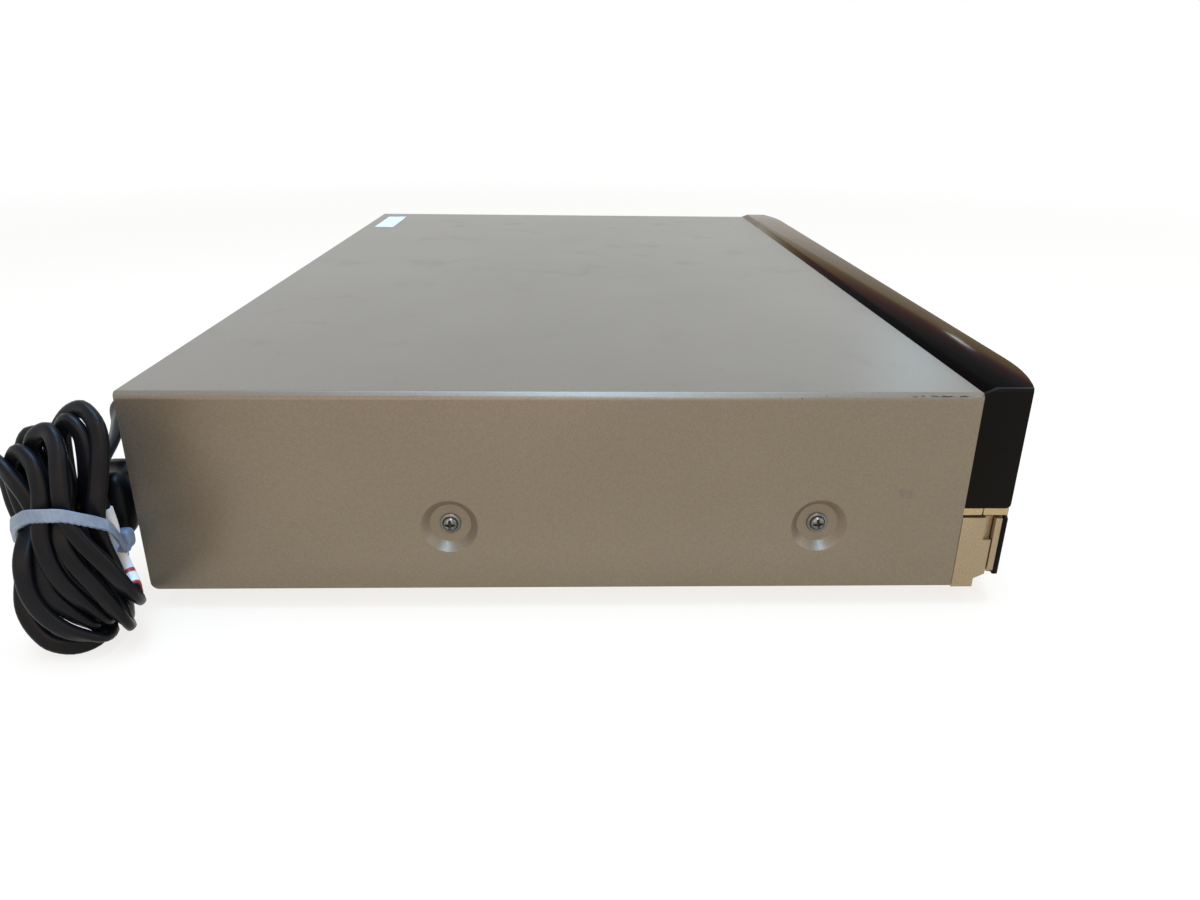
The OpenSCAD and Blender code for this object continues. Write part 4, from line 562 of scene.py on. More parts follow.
paints = {
    "cover_paint": coverPaint(coverLook),
    # from 75.4 mm up the bezel's top gets the painted warm reflection
    "gloss_black": glossBlack(paintedReflectionFrom=75.4),
    "champagne": champagne(),
    "trim_gold": champagne("trimGold", (0.42, 0.305, 0.17), 0.17, 0.9),
    "zinc_sheet": plain("zincSheet", (0.56, 0.57, 0.58), 0.38, 0.9, 1.2, 0.03),
    "screw_zinc": screwZinc(zincLook),
    "foot_rubber": plain("footRubber", (0.022, 0.022, 0.023), 0.72, 0, 0.5, 0.05),
    "blank_label": plain("blankLabel", (0.66, 0.69, 0.72), 0.5, 0, 0.3, 0.01, 0.03),
    "window_smoke": glossBlack("windowSmoke", 0.06, (0.008, 0.009, 0.012)),
    "socket_metal": plain("socketMetal", (0.78, 0.66, 0.36), 0.25, 1.0, 0.5, 0.01),
    "board_green": plain("boardGreen", (0.03, 0.15, 0.06), 0.35, 0, 0.8, 0.02, 0.2),
    "board_tan": plain("boardTan", (0.42, 0.29, 0.13), 0.5, 0, 0.8, 0.03, 0.15),
    "component_black": plain("componentBlack", (0.035, 0.035, 0.038), 0.5, 0, 0.4, 0.03),
    "loader_grey": plain("loaderGrey", (0.07, 0.07, 0.075), 0.5, 0, 0.5, 0.03),
    "tray_black": plain("trayBlack", (0.02, 0.02, 0.02), 0.42, 0, 0.5, 0.03),
    "gear_white": plain("gearWhite", (0.84, 0.81, 0.72), 0.4, 0, 0.5, 0.02, 0.05),
    "clamp_white": plain("clampWhite", (0.8, 0.8, 0.77), 0.4, 0, 0.5, 0.02, 0.05),
    "deck_steel": plain("deckSteel", (0.6, 0.61, 0.62), 0.34, 0.95, 1.5, 0.03),
    "drum_alloy": plain("drumAlloy", (0.74, 0.74, 0.75), 0.22, 1.0, 0.4, 0.01, 0.05),
    "shaft_steel": plain("shaftSteel", (0.72, 0.73, 0.74), 0.16, 1.0, 0.3, 0.005, 0.04),
    "belt_rubber": plain("beltRubber", (0.018, 0.018, 0.018), 0.6, 0, 0.4, 0.03),
    "motor_can": plain("motorCan", (0.5, 0.51, 0.53), 0.3, 0.95, 0.8, 0.02),
    "cord_black": plain("cordBlack", (0.0045, 0.0047, 0.006), 0.34, 0, 0.7, 0.03, 0.25, specular=0.12),
    "tie_clear": plain("tieClear", (0.2, 0.26, 0.36), 0.34, 0, 0.5, 0.02, 0.05),
    "label_paper": plain("labelPaper", (0.8, 0.78, 0.76), 0.45, 0, 0.6, 0.02, 0.04),
}
slots = {s["node"]: s["material_slot"] for s in frame["record"]["subparts"]}
for name, obj in nodes.items():
    obj.data.materials.clear()
    obj.data.materials.append(paints[slots[name]])
print("paints ready")


def addPiece(name, mesh, body, slot, material=None, replaced=()):
    obj = bpy.data.objects.new(name, mesh)
    bpy.context.scene.collection.objects.link(obj)
    if not mesh.materials:
        mesh.materials.append(material or paints[slot])
    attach(obj, body)
    if replaced:
        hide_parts(*replaced)
    return obj


# applies what modifiers the piece has
def bake(obj):
    graph = bpy.context.evaluated_depsgraph_get()
    mesh = bpy.data.meshes.new_from_object(obj.evaluated_get(graph))
    obj.modifiers.clear()
    old, obj.data = obj.data, mesh
    bpy.data.meshes.remove(old)


# stands for a CAD node: its shape with rounded edges. chosen lists (test, width, segments)
def dress(name, width=0.25, segments=2, angle=28, chosen=(), level=40, material=None):
    source = nodes[name]
    bm = bmesh.new()
    bm.from_mesh(source.data)
    bmesh.ops.remove_doubles(bm, verts=bm.verts, dist=2e-6)
    bmesh.ops.dissolve_limit(bm, angle_limit=math.radians(0.4), verts=bm.verts, edges=bm.edges)
    for test, wide, steps in chosen:
        inner = [e for e in bm.edges if len(e.link_faces) == 2]
        sharp = [e for e in inner if e.calc_face_angle(0) > math.radians(angle)]
        picked = [e for e in sharp if test((e.verts[0].co + e.verts[1].co) / 2 / mm)]
        bmesh.ops.bevel(bm, geom=picked, offset=wide * mm, segments=steps, profile=0.5, affect="EDGES",
                        clamp_overlap=True)
    mesh = bpy.data.meshes.new(name + "_dressed")
    bm.to_mesh(mesh)
    bm.free()
    obj = addPiece(name + "_skin", mesh, source["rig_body"], slots[name], material, [name])
    bevel = obj.modifiers.new("bevel", "BEVEL")
    bevel.width, bevel.segments = width * mm, segments
    bevel.limit_method, bevel.angle_limit = "ANGLE", math.radians(angle)
    bevel.use_clamp_overlap = True
    bevel.miter_outer = "MITER_SHARP"
    bake(obj)
    smooth(obj.data, level)


def smooth(mesh, angle=40):
    mesh.polygons.foreach_set("use_smooth", [True] * len(mesh.polygons))
    mesh.set_sharp_from_angle(angle=math.radians(angle))
    return mesh


# a mesh through rings of points in millimetres, each ring closed round
def fromGrid(rings, caps=True):
    rings = np.asarray(rings, float) * mm
    count, sides = rings.shape[:2]
    faces = []
    for i in range(count - 1):
        for k in range(sides):
            m = (k + 1) % sides
            faces.append((i * sides + k, i * sides + m, (i + 1) * sides + m, (i + 1) * sides + k))
    if caps:
        faces.append(tuple(range(sides - 1, -1, -1)))
        faces.append(tuple((count - 1) * sides + k for k in range(sides)))
    mesh = bpy.data.meshes.new("grid")
    mesh.from_pydata([tuple(v) for v in rings.reshape(-1, 3)], [], faces)
    turnOutwards(mesh)
    return mesh


def turnOutwards(mesh, merged=0.0):
    bm = bmesh.new()
    bm.from_mesh(mesh)
    if merged:
        bmesh.ops.remove_doubles(bm, verts=bm.verts, dist=merged)
    bmesh.ops.recalc_face_normals(bm, faces=bm.faces)
    bm.to_mesh(mesh)
    bm.free()


def joined(name, meshes):
    bm = bmesh.new()
    for mesh in meshes:
        bm.from_mesh(mesh)
    mesh = bpy.data.meshes.new(name)
    bm.to_mesh(mesh)
    bm.free()
    return mesh


def lengthAlong(line):
    return np.concatenate([[0], np.cumsum(np.linalg.norm(np.diff(line, axis=0), axis=1))])


def unit(v):
    return v / np.maximum(np.linalg.norm(v, axis=-1, keepdims=True), 1e-12)


# an oval between an ellipse and a box: sides points round it, of half width and half height 1
def softOval(sides, power, otherPower=None):
    turn = np.linspace(0, 2 * np.pi, sides, endpoint=False)
    c, s = np.cos(turn), np.sin(turn)
    return np.sign(c) * np.abs(c) ** power, np.sign(s) * np.abs(s) ** (otherPower or power)


# the route in millimetres: out of the strain relief, through the hank's turns and down to the plug
cordRoute = [
    (-170, 156, 60), (-171, 160.7, 59.9), (-175.4, 162.5, 59.6), (-187, 158.3, 57.7), (-198.6, 154.6, 55.2),
    (-210.7, 153, 52.8), (-215.5, 152.3, 51.4), (-219.7, 151.8, 48.8), (-221.1, 150.6, 41.5),
    (-220.8, 150, 34.1), (-221.1, 149.8, 29.3), (-223.8, 146.2, 20.9), (-226.3, 143.4, 17.9),
    (-229.7, 140.3, 16.1), (-233.7, 137.9, 16.2), (-239, 136.7, 20.3), (-241.1, 137.2, 24.7),
    (-242.6, 139.8, 31.5), (-243, 146.3, 42.1), (-241.9, 149.4, 48.7), (-239.5, 149.8, 60.5),
    (-237.3, 150.1, 67.5), (-234, 153.3, 71.7), (-231.7, 158.8, 68.9), (-230.8, 161, 64.8),
    (-232.6, 158.5, 53.3), (-235.9, 156.6, 41.5), (-237, 153.7, 29.6), (-235.4, 150.1, 18.2),
    (-234.7, 147.9, 12.3), (-238.3, 146.2, 11.9), (-242.9, 150.5, 21.4), (-243.9, 153.8, 27.9),
    (-244.1, 155.9, 35), (-242.9, 156.9, 42.3), (-240, 156, 54.2), (-238.8, 156.5, 58.9),
    (-237.2, 158.1, 63.1), (-234.2, 162.8, 65.3), (-231.8, 167.1, 60.6), (-231.1, 168.5, 56),
    (-231, 168.2, 48.7), (-233, 165.2, 36.9), (-235.8, 163, 27.8), (-236.7, 160.5, 20.9),
    (-235.8, 156.4, 12.5), (-235.9, 152.3, 8.4), (-239.5, 150.6, 10.2), (-243.1, 154.3, 17),
    (-243.8, 158.4, 25.1), (-241.4, 159, 36.5), (-239.2, 159, 43.7), (-237.9, 160.9, 51),
    (-236.4, 164.9, 57.4), (-234.8, 168.3, 60.9), (-230.8, 172.5, 61.5), (-227.5, 172.7, 53),
    (-227.1, 172.6, 45.6), (-227.7, 171.1, 38.3), (-229.4, 169.7, 34.1), (-236.3, 169.7, 24),
    (-239.4, 169.5, 17.3), (-240.9, 168, 12.8), (-241.8, 165.5, 8.7), (-242.2, 162.1, 5.4),
    (-240.3, 156.4, 3), (-235.3, 151.9, 3), (-229.8, 150.9, 6), (-227.3, 152.2, 12.7), (-226.4, 153.9, 20),
    (-226.3, 154.5, 27.5), (-227.2, 153.6, 34.9), (-230.5, 149.4, 46.1), (-232.8, 145.6, 57.7),
    (-232.9, 144.7, 65), (-232.2, 145.2, 69.7), (-230.1, 149.1, 73.4), (-227.8, 153.1, 69.4),
    (-226.7, 154.8, 62.4), (-228.4, 154.8, 50.2), (-231.1, 154.3, 43.4), (-234.1, 151.7, 36.9),
    (-236.1, 147, 25.3), (-235.3, 142.8, 13.5), (-236.7, 140.6, 9), (-240.6, 140.2, 12.9),
    (-242.6, 144.3, 24.2), (-243.2, 149.8, 35.3), (-242.6, 151.3, 39.7), (-240.8, 152.2, 44),
    (-236.7, 151.6, 50.1), (-233.3, 152, 56.7), (-230.8, 154.1, 63.3), (-229.4, 156.6, 67.2),
    (-227.7, 162.3, 68.3), (-227.1, 166.1, 62.7), (-227.6, 166.1, 55.2), (-229.3, 163.3, 43.1),
    (-229.9, 162, 33.7), (-230.7, 157.9, 22.1), (-231.4, 153.4, 13.2), (-232.2, 150.6, 9.2),
    (-234.6, 147.7, 6.3), (-240.4, 148, 6.5), (-243.2, 151.6, 8.7), (-244.8, 155.6, 11.8),
    (-245.7, 160.3, 18), (-245.7, 162.9, 25.3), (-244.8, 163.3, 32.8), (-242.8, 163.1, 37.3),
    (-237.5, 163, 42.4), (-230.3, 161.4, 49.5), (-226.2, 160.7, 55.6), (-224.7, 159.9, 60),
    (-224.3, 157.1, 66.6), (-225.3, 152.7, 72.5), (-226.8, 149, 75.4), (-228.9, 145, 76.6),
    (-232.2, 140.5, 73.3), (-233.5, 139.6, 68.7), (-235.9, 141.2, 56.5), (-237.9, 142.9, 46.9),
    (-238.2, 143.1, 39.6), (-235.6, 142.5, 27.6), (-232, 143.4, 15.7), (-228.9, 145.2, 9.1),
    (-226.2, 147, 5.4), (-221.7, 150.7, 3.3), (-219.4, 153.3, 7.5), (-220.9, 153.7, 19.7),
    (-222.9, 154.5, 29.3), (-221.8, 154.6, 33.9), (-217.5, 154.2, 36), (-212.5, 154, 36.2),
]
# the flex's section: power rounds it, and a groove runs along the middle of each flat face
cordSize = {"wide": 5.4, "thick": 3.4, "sides": 20, "step": 1.6}
flexSection = {"power": (0.8, 0.75), "groove": 0.1, "grooveWide": 0.16}


# even points, step apart, on a centripetal curve through the given ones
def curveThrough(points, step, samples=24):
    p = np.array(points, float)
    p = np.vstack([2 * p[0] - p[1], p, 2 * p[-1] - p[-2]])
    out = []
    for i in range(1, len(p) - 2):
        q = p[i - 1:i + 3]
        t = np.concatenate([[0], np.cumsum(np.sqrt(np.linalg.norm(np.diff(q, axis=0), axis=1)))])
        for s in np.linspace(t[1], t[2], samples, endpoint=False):
            a = [((t[k + 1] - s) * q[k] + (s - t[k]) * q[k + 1]) / (t[k + 1] - t[k]) for k in range(3)]
            b = [((t[k + 2] - s) * a[k] + (s - t[k]) * a[k + 1]) / (t[k + 2] - t[k]) for k in range(2)]
            out.append(((t[2] - s) * b[0] + (s - t[1]) * b[1]) / (t[2] - t[1]))
    out.append(p[-2])
    out = np.array(out)
    along = lengthAlong(out)
    even = np.linspace(0, along[-1], int(round(along[-1] / step)) + 1)
    return np.array([np.interp(even, along, out[:, k]) for k in range(3)]).T


# for each point a wide and a thin direction, the thin one held near a given axis and turned smoothly
def flatFrames(line, thin, passes=40):
    heading = unit(np.gradient(line, axis=0))
    narrow = np.tile(np.array(thin, float), (len(line), 1))
    for _ in range(passes):
        narrow = unit(narrow - (narrow * heading).sum(1, keepdims=True) * heading)
        narrow[1:-1] = (narrow[:-2] + 2 * narrow[1:-1] + narrow[2:]) / 4
    narrow = unit(narrow - (narrow * heading).sum(1, keepdims=True) * heading)
    return np.cross(narrow, heading), narrow


# a twin flex: an oval with a shallow groove along the middle of each flat face
def flatTube(line, frames, wide, thick, sides):
    across, narrow = frames
    f = flexSection
    u, v = softOval(sides, *f["power"])
    u, v = u * wide / 2, v * thick / 2
    v = v * (1 - f["groove"] * np.exp(-((u / (f["grooveWide"] * wide)) ** 2)))
    return line[:, None] + across[:, None] * u[None, :, None] + narrow[:, None] * v[None, :, None]


cordLine = curveThrough(cordRoute, cordSize["step"])
cordFrames = flatFrames(cordLine, (1, 0, 0))
cordAlong = lengthAlong(cordLine)
cordMesh = fromGrid(flatTube(cordLine, cordFrames, cordSize["wide"], cordSize["thick"], cordSize["sides"]))
cordPiece = addPiece("mains_cord", smooth(cordMesh, 60), "cabinet", "cord_black", None,
                     ["power_cord", "cord_hank"])
print("cord length", round(cordAlong[-1] * mm, 3))

# the blank sleeve on one strand: where it starts and ends along the cord, with its two red bands
sleeveLook = {"span": (65, 97.5), "bands": ((88.4, 90.1), (94.9, 96.2)),
              "wide": 6.7, "thick": 4.3, "sides": 28,
              "red": (0.36, 0.035, 0.03), "paper": ((0.7, 0.7, 0.71), (0.84, 0.84, 0.85))}


def makeSleeve(c):
    near = (cordAlong >= c["span"][0]) & (cordAlong <= c["span"][1])
    frames = [f[near] for f in cordFrames]
    mesh = fromGrid(flatTube(cordLine[near], frames, c["wide"], c["thick"], c["sides"]))
    along = mesh.attributes.new("along", "FLOAT", "POINT")
    along.data.foreach_set("value", np.repeat(cordAlong[near], c["sides"]))
    p = Paint("sleevePaper")
    place = p.attribute("along")
    red = place.between(*c["bands"][0], 0.15).top(place.between(*c["bands"][1], 0.15))
    p.set(base=red.ramp(mottled(p, 5, *c["paper"]), c["red"]), rough=0.4 + 0.1 * p.noise(3, 2))
    p.bump(p.noise(4, 2), 0.12, 0.6)
    return addPiece("blank_sleeve", smooth(mesh, 50), "cabinet", "label_paper", p.material, ["cord_label"])


# the tie's tilted ring: its height at x = -230, its lean, and the size of its band and teeth
tieLook = {
    "level": 35.4, "lean": 0.95, "middle": -230, "right": -208, "strand": 2.9, "clear": 0.25,
    "tall": 3.9, "thick": 1.15, "step": 0.375, "rounds": 12, "tooth": 1.5, "toothDeep": 0.34, "rib": 0.16,
    "head": (-218.8, 146.2, 29.2), "headSize": (5.2, 4.8, 6.6), "stripWide": 4, "stripThick": 1.3,
    "tailFrom": (-219.5, 140), "tailTo": (-218.8, 146.2, 29.5), "tailStep": 0.6, "tailSides": 14,
    "nylon": ((0.13, 0.175, 0.26), (0.2, 0.26, 0.36)), "soft": 2,
}


def hullAround(points, radius):
    turn = np.linspace(0, 2 * np.pi, 24, endpoint=False)
    cloud = (points[:, None] + radius * np.stack([np.cos(turn), np.sin(turn)], 1)[None]).reshape(-1, 2)
    cloud = cloud[np.lexsort((cloud[:, 1], cloud[:, 0]))]

    def turns(a, b, q):
        return (b[0] - a[0]) * (q[1] - a[1]) - (b[1] - a[1]) * (q[0] - a[0])

    def chain(run):
        out = []
        for q in run:
            while len(out) > 1 and turns(out[-2], out[-1], q) <= 0:
                out.pop()
            out.append(q)
        return out[:-1]

    return np.array(chain(cloud) + chain(cloud[::-1]))


# a band whose sections follow each other all the way round
def closedRing(sections):
    mesh = fromGrid(np.concatenate([sections, sections[:1]]), caps=False)
    turnOutwards(mesh, merged=1e-6)
    return mesh


# a soft-cornered block, its poles up and down
def roundBlock(centre, size, sides=28, rows=13, power=3.4):
    rings = []
    for tilt in np.linspace(-np.pi / 2 + 0.02, np.pi / 2 - 0.02, rows):
        u, v = softOval(sides, 2 / power)
        r = np.cos(tilt) ** (2 / power)
        z = np.full(sides, np.sign(tilt) * np.abs(np.sin(tilt)) ** (2 / power) * size[2] / 2)
        rings.append(np.stack([u * r * size[0] / 2, v * r * size[1] / 2, z], 1) + centre)
    return rings


# the tie's height at a place beside the hank
def tieHeight(t, x):
    return t["level"] + t["lean"] * (t["middle"] - x)


# even points round all the strands that cross the tie's level, and their lengths along the ring
def tieRing(t):
    above = cordLine[:, 2] - tieHeight(t, cordLine[:, 0])
    over = np.nonzero((above[:-1] * above[1:] < 0) & (cordLine[:-1, 0] < t["right"]))[0]
    hull = hullAround(cordLine[over][:, :2], t["strand"] + t["clear"])
    hull = np.vstack([hull, hull[:1]])
    along = lengthAlong(hull)
    even = np.linspace(0, along[-1], int(along[-1] / t["step"]), endpoint=False)
    ring = np.stack([np.interp(even, along, hull[:, k]) for k in range(2)], 1)
    for _ in range(t["rounds"]):
        ring = (np.roll(ring, 1, 0) + 2 * ring + np.roll(ring, -1, 0)) / 4
    return ring, even


# the band: teeth along its lower edge, ribs on its outer face
def tieBand(t, ring, even):
    out = unit(np.roll(ring, -1, 0) - np.roll(ring, 1, 0))
    out = np.stack([out[:, 1], -out[:, 0]], 1)
    thick, high = t["thick"], t["tall"] / 2
    low = -t["tall"] / 2 - t["toothDeep"] * ((even / t["tooth"]) % 1)
    face = thick - 0.18 - t["rib"] * np.cos(2 * np.pi * even / t["tooth"])
    shape = [(0, low + 0.2), (0, high - 0.2), (0.25, high), (thick - 0.3, high), (thick, high - 0.35),
             (face, 0.3 * high), (face, 0.5 * low), (thick, low + 0.3), (thick - 0.3, low), (0.25, low)]
    rows = []
    for offset, rise in shape:
        xy = ring + out * np.asarray(offset).reshape(-1, 1)
        rows.append(np.column_stack([xy, tieHeight(t, xy[:, 0]) + rise]))
    return closedRing(np.stack(rows, 1))


def makeTie(t):
    ring, even = tieRing(t)
    # the head below the ring's right end, and the short strip that leads to it
    head = fromGrid(roundBlock(t["head"], t["headSize"]))
    x, y = ring[np.argmin(np.hypot(*(ring - t["tailFrom"]).T))]
    z = tieHeight(t, x)
    tail = curveThrough([(x - 1, y + 0.6, z + 1), (x, y - 0.7, z), t["tailTo"]], t["tailStep"])
    frames = flatFrames(tail, (0, 1, 0))
    strap = fromGrid(flatTube(tail, frames, t["stripWide"], t["stripThick"], t["tailSides"]))
    mesh = joined("tie", [tieBand(t, ring, even), head, strap])
    p = Paint("tieNylon")
    p.set(base=mottled(p, 9, *t["nylon"]), rough=0.32 + 0.1 * p.noise(4, 2), under=0.25)
    p.shader.inputs["Subsurface Radius"].default_value = (t["soft"] * mm,) * 3
    p.bump(p.noise(1.2, 2), 0.03)
    return addPiece("ribbed_tie", smooth(mesh, 40), "cabinet", "tie_clear", p.material, ["cable_tie"])


# the plug's profile: along X, then its share of the full width and height; a blade's steps and half sizes
plugLook = {
    "at": (-205.4, 154, 36.2), "size": (17, 16, 24), "power": 3.2, "sides": 56,
    "profile": (
        (0, 0.3, 0.26), (0.02, 0.42, 0.36), (0.06, 0.62, 0.6), (0.14, 0.82, 0.84), (0.26, 0.93, 0.95),
        (0.4, 0.92, 0.94), (0.55, 0.87, 0.9), (0.7, 0.86, 0.89), (0.77, 0.9, 0.92), (0.81, 0.99, 0.99),
        (0.86, 1, 1), (0.96, 1, 1), (1, 0.95, 0.97),
    ),
    "bladeApart": 6.35, "blade": ((-1, 0.76, 3.2), (14.5, 0.76, 3.2), (16.2, 0.76, 2.8), (17, 0.4, 1.9)),
}


def makePlug(c):
    (x0, y0, z0), (long, wide, tall) = c["at"], c["size"]
    u, v = softOval(c["sides"], 2 / c["power"])
    flat = np.ones(c["sides"])
    rings = [np.stack([(t - 0.5) * long * flat, u * w * wide / 2, v * h * tall / 2], 1) + c["at"]
             for t, w, h in c["profile"]]
    body = addPiece("plug_body", smooth(fromGrid(rings), 38), "cabinet", "cord_black", None, ["power_plug"])
    blades = []
    for side in (-1, 1):
        y = y0 + side * c["bladeApart"]
        rows = []
        for step, half, rise in c["blade"]:
            x = x0 + long / 2 + step
            rows.append([(x, y - half, z0 - rise), (x, y + half, z0 - rise),
                         (x, y + half, z0 + rise), (x, y - half, z0 + rise)])
        blades.append(fromGrid(rows))
    mesh = smooth(joined("blades", blades), 25)
    addPiece("plug_blades", mesh, "cabinet", "socket_metal", paints["shaft_steel"])
    return body


# the strain relief's profile: along Y from the panel's outer face, and its radius; then its ribs on a cone
reliefLook = {
    "x": -170, "z": 60, "out": 15, "sides": 40,
    "collar": [(-6, 6.6), (-5.9, 7), (-1.3, 7), (-1.2, 5), (0.2, 5), (0.21, 6.3), (0.4, 6.5), (2.8, 6.5),
               (3.1, 6.2), (3.2, 4.95)],
    "ribs": (4, 5.8, 7.6, 9.4, 11.2, 13), "rib": ((0, 0), (1, 0), (1.05, 0.6), (1.7, 0.6), (1.75, 0)),
    "cone": (3, 5, 0.105), "end": [(14.6, 3.75), (15, 3.4), (15, 2.9)],
}


def makeRelief(c):
    start, wide, slope = c["cone"]
    ribs = [(y + d, wide - (y - start) * slope - cutIn) for y in c["ribs"] for d, cutIn in c["rib"]]
    profile = c["collar"] + ribs[:-3] + c["end"]
    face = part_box("strain_relief")[1][1] / mm - c["out"]
    u, v = softOval(c["sides"], 1)
    flat = np.ones(c["sides"])
    rings = [np.stack([c["x"] + r * u, (face + y) * flat, c["z"] + r * v], 1) for y, r in profile]
    mesh = smooth(fromGrid(rings), 35)
    return addPiece("ribbed_relief", mesh, "cabinet", "cord_black", None, ["strain_relief"])


cordThings = [makePlug(plugLook), makeTie(tieLook), makeRelief(reliefLook), makeSleeve(sleeveLook)]
print("cord ready")


# the screws' heads in millimetres, and where they sit on the sides and the rear
screwLook = {
    "dome": 2.6, "tall": 2.1, "brim": 0.55, "tip": 0.03, "rings": ((0.1, 1.9, 25), (1.98, 2.6, 8)),
    # from this radius outward the dome's rim gets painted shade
    "shadedFrom": 2.45,
    "flange": ((2.7, 0.5), (3.28, 0.5), (3.44, 0.42), (3.5, 0.28), (3.5, 0.02)),
    "arm": 0.44, "reach": 1.75, "deep": 1.3, "sides": 96,
    "x": 212.2, "ys": (-79.85, 42.85), "z": 31,
    "rearXs": (-150.5, 0, 150.5), "rearY": 143.25, "rearZ": 72.3,
}


# each screw's place and the way it points
def screwPlaces(c):
    sides = [((side * c["x"], y, c["z"]), (side, 0, 0)) for side in (-1, 1) for y in c["ys"]]
    return sides + [((x, c["rearY"], c["rearZ"]), (0, 1, 0)) for x in c["rearXs"]]


# the cover's edges and, wider, the dimples' rims: width in millimetres and steps
coverEdges = {"all": (0.22, 2), "angle": 20, "rims": (0.7, 3), "reach": 12, "near": 0.3}
# each other piece's edges
cabinetEdges = {"cover_label": (0.05, 1), "rear_panel": (0.15, 2), "chassis_base": (0.15, 2),
                "feet": (0.4, 3)}


def dimpleRim(q):
    e = coverEdges
    return abs(abs(q.x) - coverSide) < e["near"] and abs(q.z - screwLook["z"]) < e["reach"]


dress("top_cover", *coverEdges["all"], coverEdges["angle"], [(dimpleRim, *coverEdges["rims"])])
for name, edge in cabinetEdges.items():
    dress(name, *edge)


# a domed head on a round flange, with a cross recess; it points up. A point attribute marks painted shade
# in the recess, on the dome's rim and at the flange's foot
def screwHead(c):
    u, v = softOval(c["sides"], 1)
    rings, paintedShade = [], []
    for r in np.concatenate([[c["tip"]], *(np.linspace(*k) for k in c["rings"])]):
        long, short = np.maximum(np.abs(r * u), np.abs(r * v)), np.minimum(np.abs(r * u), np.abs(r * v))
        far = np.clip(long / c["reach"], 0, 1)
        arm = np.clip((c["arm"] * (1 - 0.3 * far) - short) / 0.1 + 0.5, 0, 1)
        cross = arm * np.clip((1 - far) / 0.06, 0, 1)
        dome = (c["tall"] - c["brim"]) * np.sqrt(max(0, 1 - (r / c["dome"]) ** 2.6))
        z = c["brim"] + dome - c["deep"] * cross * (1 - 0.7 * far**2)
        rings.append(np.stack([r * u, r * v, z], 1))
        # painted shade: full in the cross recess, on the rim past the given radius, and nearly full on the
        # flange's last ring
        paintedShade.append(np.maximum(cross * (1 - 0.6 * far**2), float(r > c["shadedFrom"])))
    for i, (r, z) in enumerate(c["flange"]):
        rings.append(np.stack([r * u, r * v, np.full(c["sides"], z)], 1))
        paintedShade.append(np.full(c["sides"], 0.9 if i == len(c["flange"]) - 1 else 0))
    mesh = smooth(fromGrid(rings), 50)
    dark = mesh.attributes.new("paintedShade", "FLOAT", "POINT")
    dark.data.foreach_set("value", np.array(paintedShade).ravel())
    return mesh


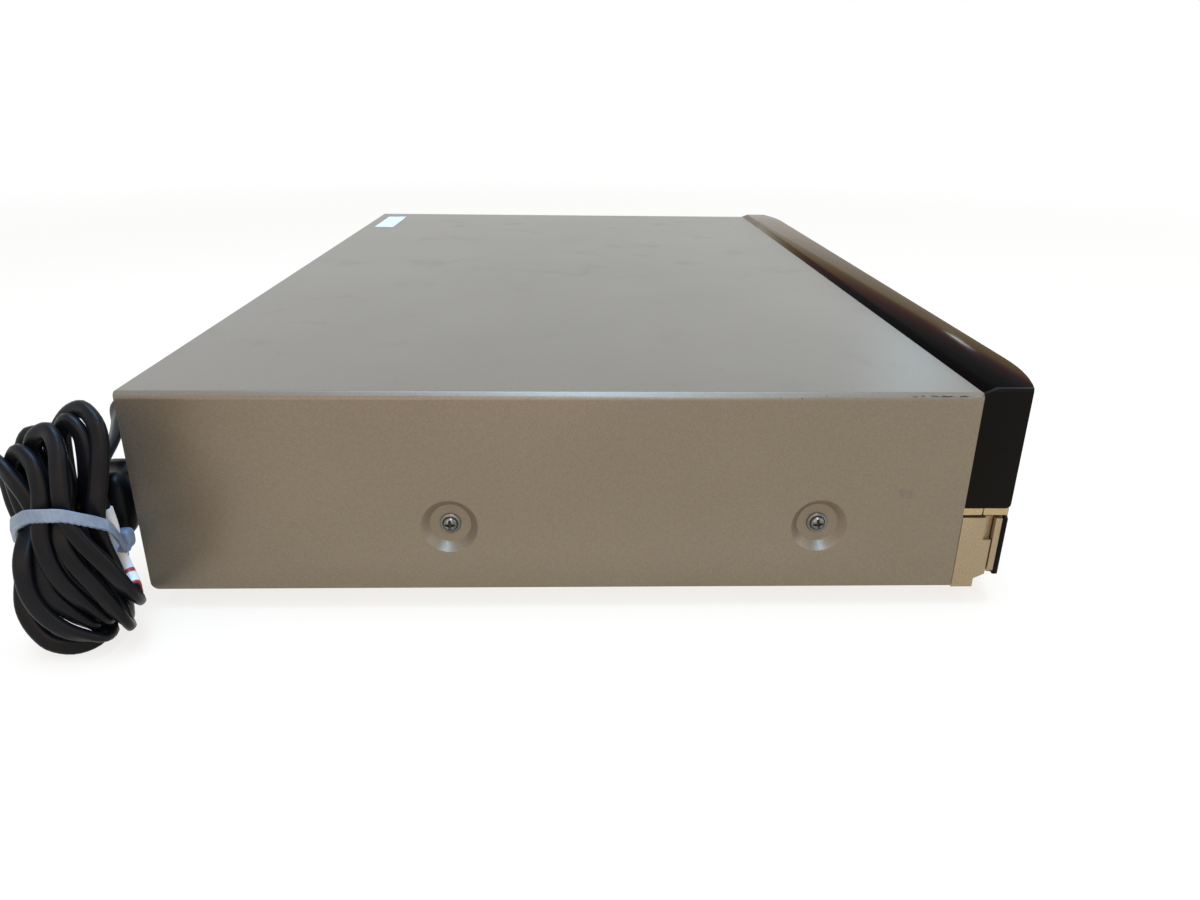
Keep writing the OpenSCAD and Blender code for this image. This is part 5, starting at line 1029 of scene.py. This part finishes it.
# one head on each point, along the point's axis, turned at random
def screwTree():
    tree = bpy.data.node_groups.new("screws", "GeometryNodeTree")
    ids = {}
    inputs = (("Geometry", "Geometry", None), ("Head", "Object", None), ("Size", "Float", 1.0),
              ("Turn", "Float", 6.283), ("Seed", "Int", 5), ("Paint", "Material", None))
    for name, kind, value in inputs:
        socket = tree.interface.new_socket(name, in_out="INPUT", socket_type="NodeSocket" + kind)
        ids[name] = socket.identifier
        if value is not None:
            socket.default_value = value
    tree.interface.new_socket("Geometry", in_out="OUTPUT", socket_type="NodeSocketGeometry")

    def node(kind, links, **settings):
        n = tree.nodes.new(kind)
        for key, value in settings.items():
            setattr(n, key, value)
        for key, source in links.items():
            tree.links.new(source, n.inputs[key])
        return n

    given = tree.nodes.new("NodeGroupInput").outputs
    head = node("GeometryNodeObjectInfo", {"Object": given["Head"]})
    axis = node("GeometryNodeInputNamedAttribute", {}, data_type="FLOAT_VECTOR")
    axis.inputs["Name"].default_value = "axis"
    point = node("FunctionNodeAlignRotationToVector", {"Vector": axis.outputs[0]}, axis="Z")
    chance = node("FunctionNodeRandomValue", {"Seed": given["Seed"]}, data_type="FLOAT")
    most = [k for k in chance.inputs if k.name == "Max" and k.type == "VALUE" and k.enabled]
    tree.links.new(given["Turn"], most[0])
    spin = node("FunctionNodeAxisAngleToRotation", {"Angle": [k for k in chance.outputs if k.enabled][0]})
    spin.inputs["Axis"].default_value = (0, 0, 1)
    both = node("FunctionNodeRotateRotation", {"Rotation": point.outputs[0], "Rotate By": spin.outputs[0]},
                rotation_space="LOCAL")
    heads = {"Points": given["Geometry"], "Instance": head.outputs["Geometry"], "Rotation": both.outputs[0]}
    placed = node("GeometryNodeInstanceOnPoints", {**heads, "Scale": given["Size"]})
    real = node("GeometryNodeRealizeInstances", {"Geometry": placed.outputs[0]})
    painted = node("GeometryNodeSetMaterial", {"Geometry": real.outputs[0], "Material": given["Paint"]})
    node("NodeGroupOutput", {0: painted.outputs[0]})
    return tree, ids


def makeScrews(places, c):
    head = bpy.data.objects.new("screwHead", screwHead(c))
    bpy.context.scene.collection.objects.link(head)
    mesh = bpy.data.meshes.new("screws")
    mesh.from_pydata([tuple(v * mm for v in at) for at, _ in places], [], [])
    axis = mesh.attributes.new("axis", "FLOAT_VECTOR", "POINT")
    axis.data.foreach_set("vector", [v for _, way in places for v in way])
    obj = bpy.data.objects.new("screw_heads", mesh)
    bpy.context.scene.collection.objects.link(obj)
    tree, ids = screwTree()
    grown = obj.modifiers.new("screws", "NODES")
    grown.node_group = tree
    grown[ids["Head"]] = head
    grown[ids["Paint"]] = paints["screw_zinc"]
    bake(obj)
    bpy.data.objects.remove(head)
    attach(obj, "cabinet")
    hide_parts("cover_screws")


makeScrews(screwPlaces(screwLook), screwLook)
print("cabinet ready")


# the bezel's edges and, wider, its lower front one: width in millimetres and steps
bezelEdges = {"all": (0.3, 3), "lower": (1.5, 4), "below": 37.35, "before": -143.4}
# each other piece's edges
frontEdges = {
    "trim_band": (0.22, 2), "lower_bezel": (0.3, 3), "jack_door": (0.25, 2), "door_face": (0.25, 2),
    "lower_fascia": (0.3, 2), "display_window": (0.2, 2), "tape_door": (0.25, 2),
    "tray_front": (0.3, 3), "disc_tray": (0.2, 2),
}
keyEdges = (0.3, 3)
socketEdges = (0.15, 2)


def lowerFrontEdge(q):
    return q.z < bezelEdges["below"] and q.y < bezelEdges["before"]


dress("front_bezel", *bezelEdges["all"], chosen=[(lowerFrontEdge, *bezelEdges["lower"])])
for name, edge in frontEdges.items():
    dress(name, *edge)
for name in keyNames:
    keyPaint = champagneKey if slots[name] == "champagne" else blackKey
    dress(name, *keyEdges, material=keyPaint(name, keyLook))
dress("front_jacks", *socketEdges, material=frontSocketPaint(frontSockets))
dress("rear_jacks", *socketEdges, material=rearSocketPaint(rearSockets))
print("front ready")
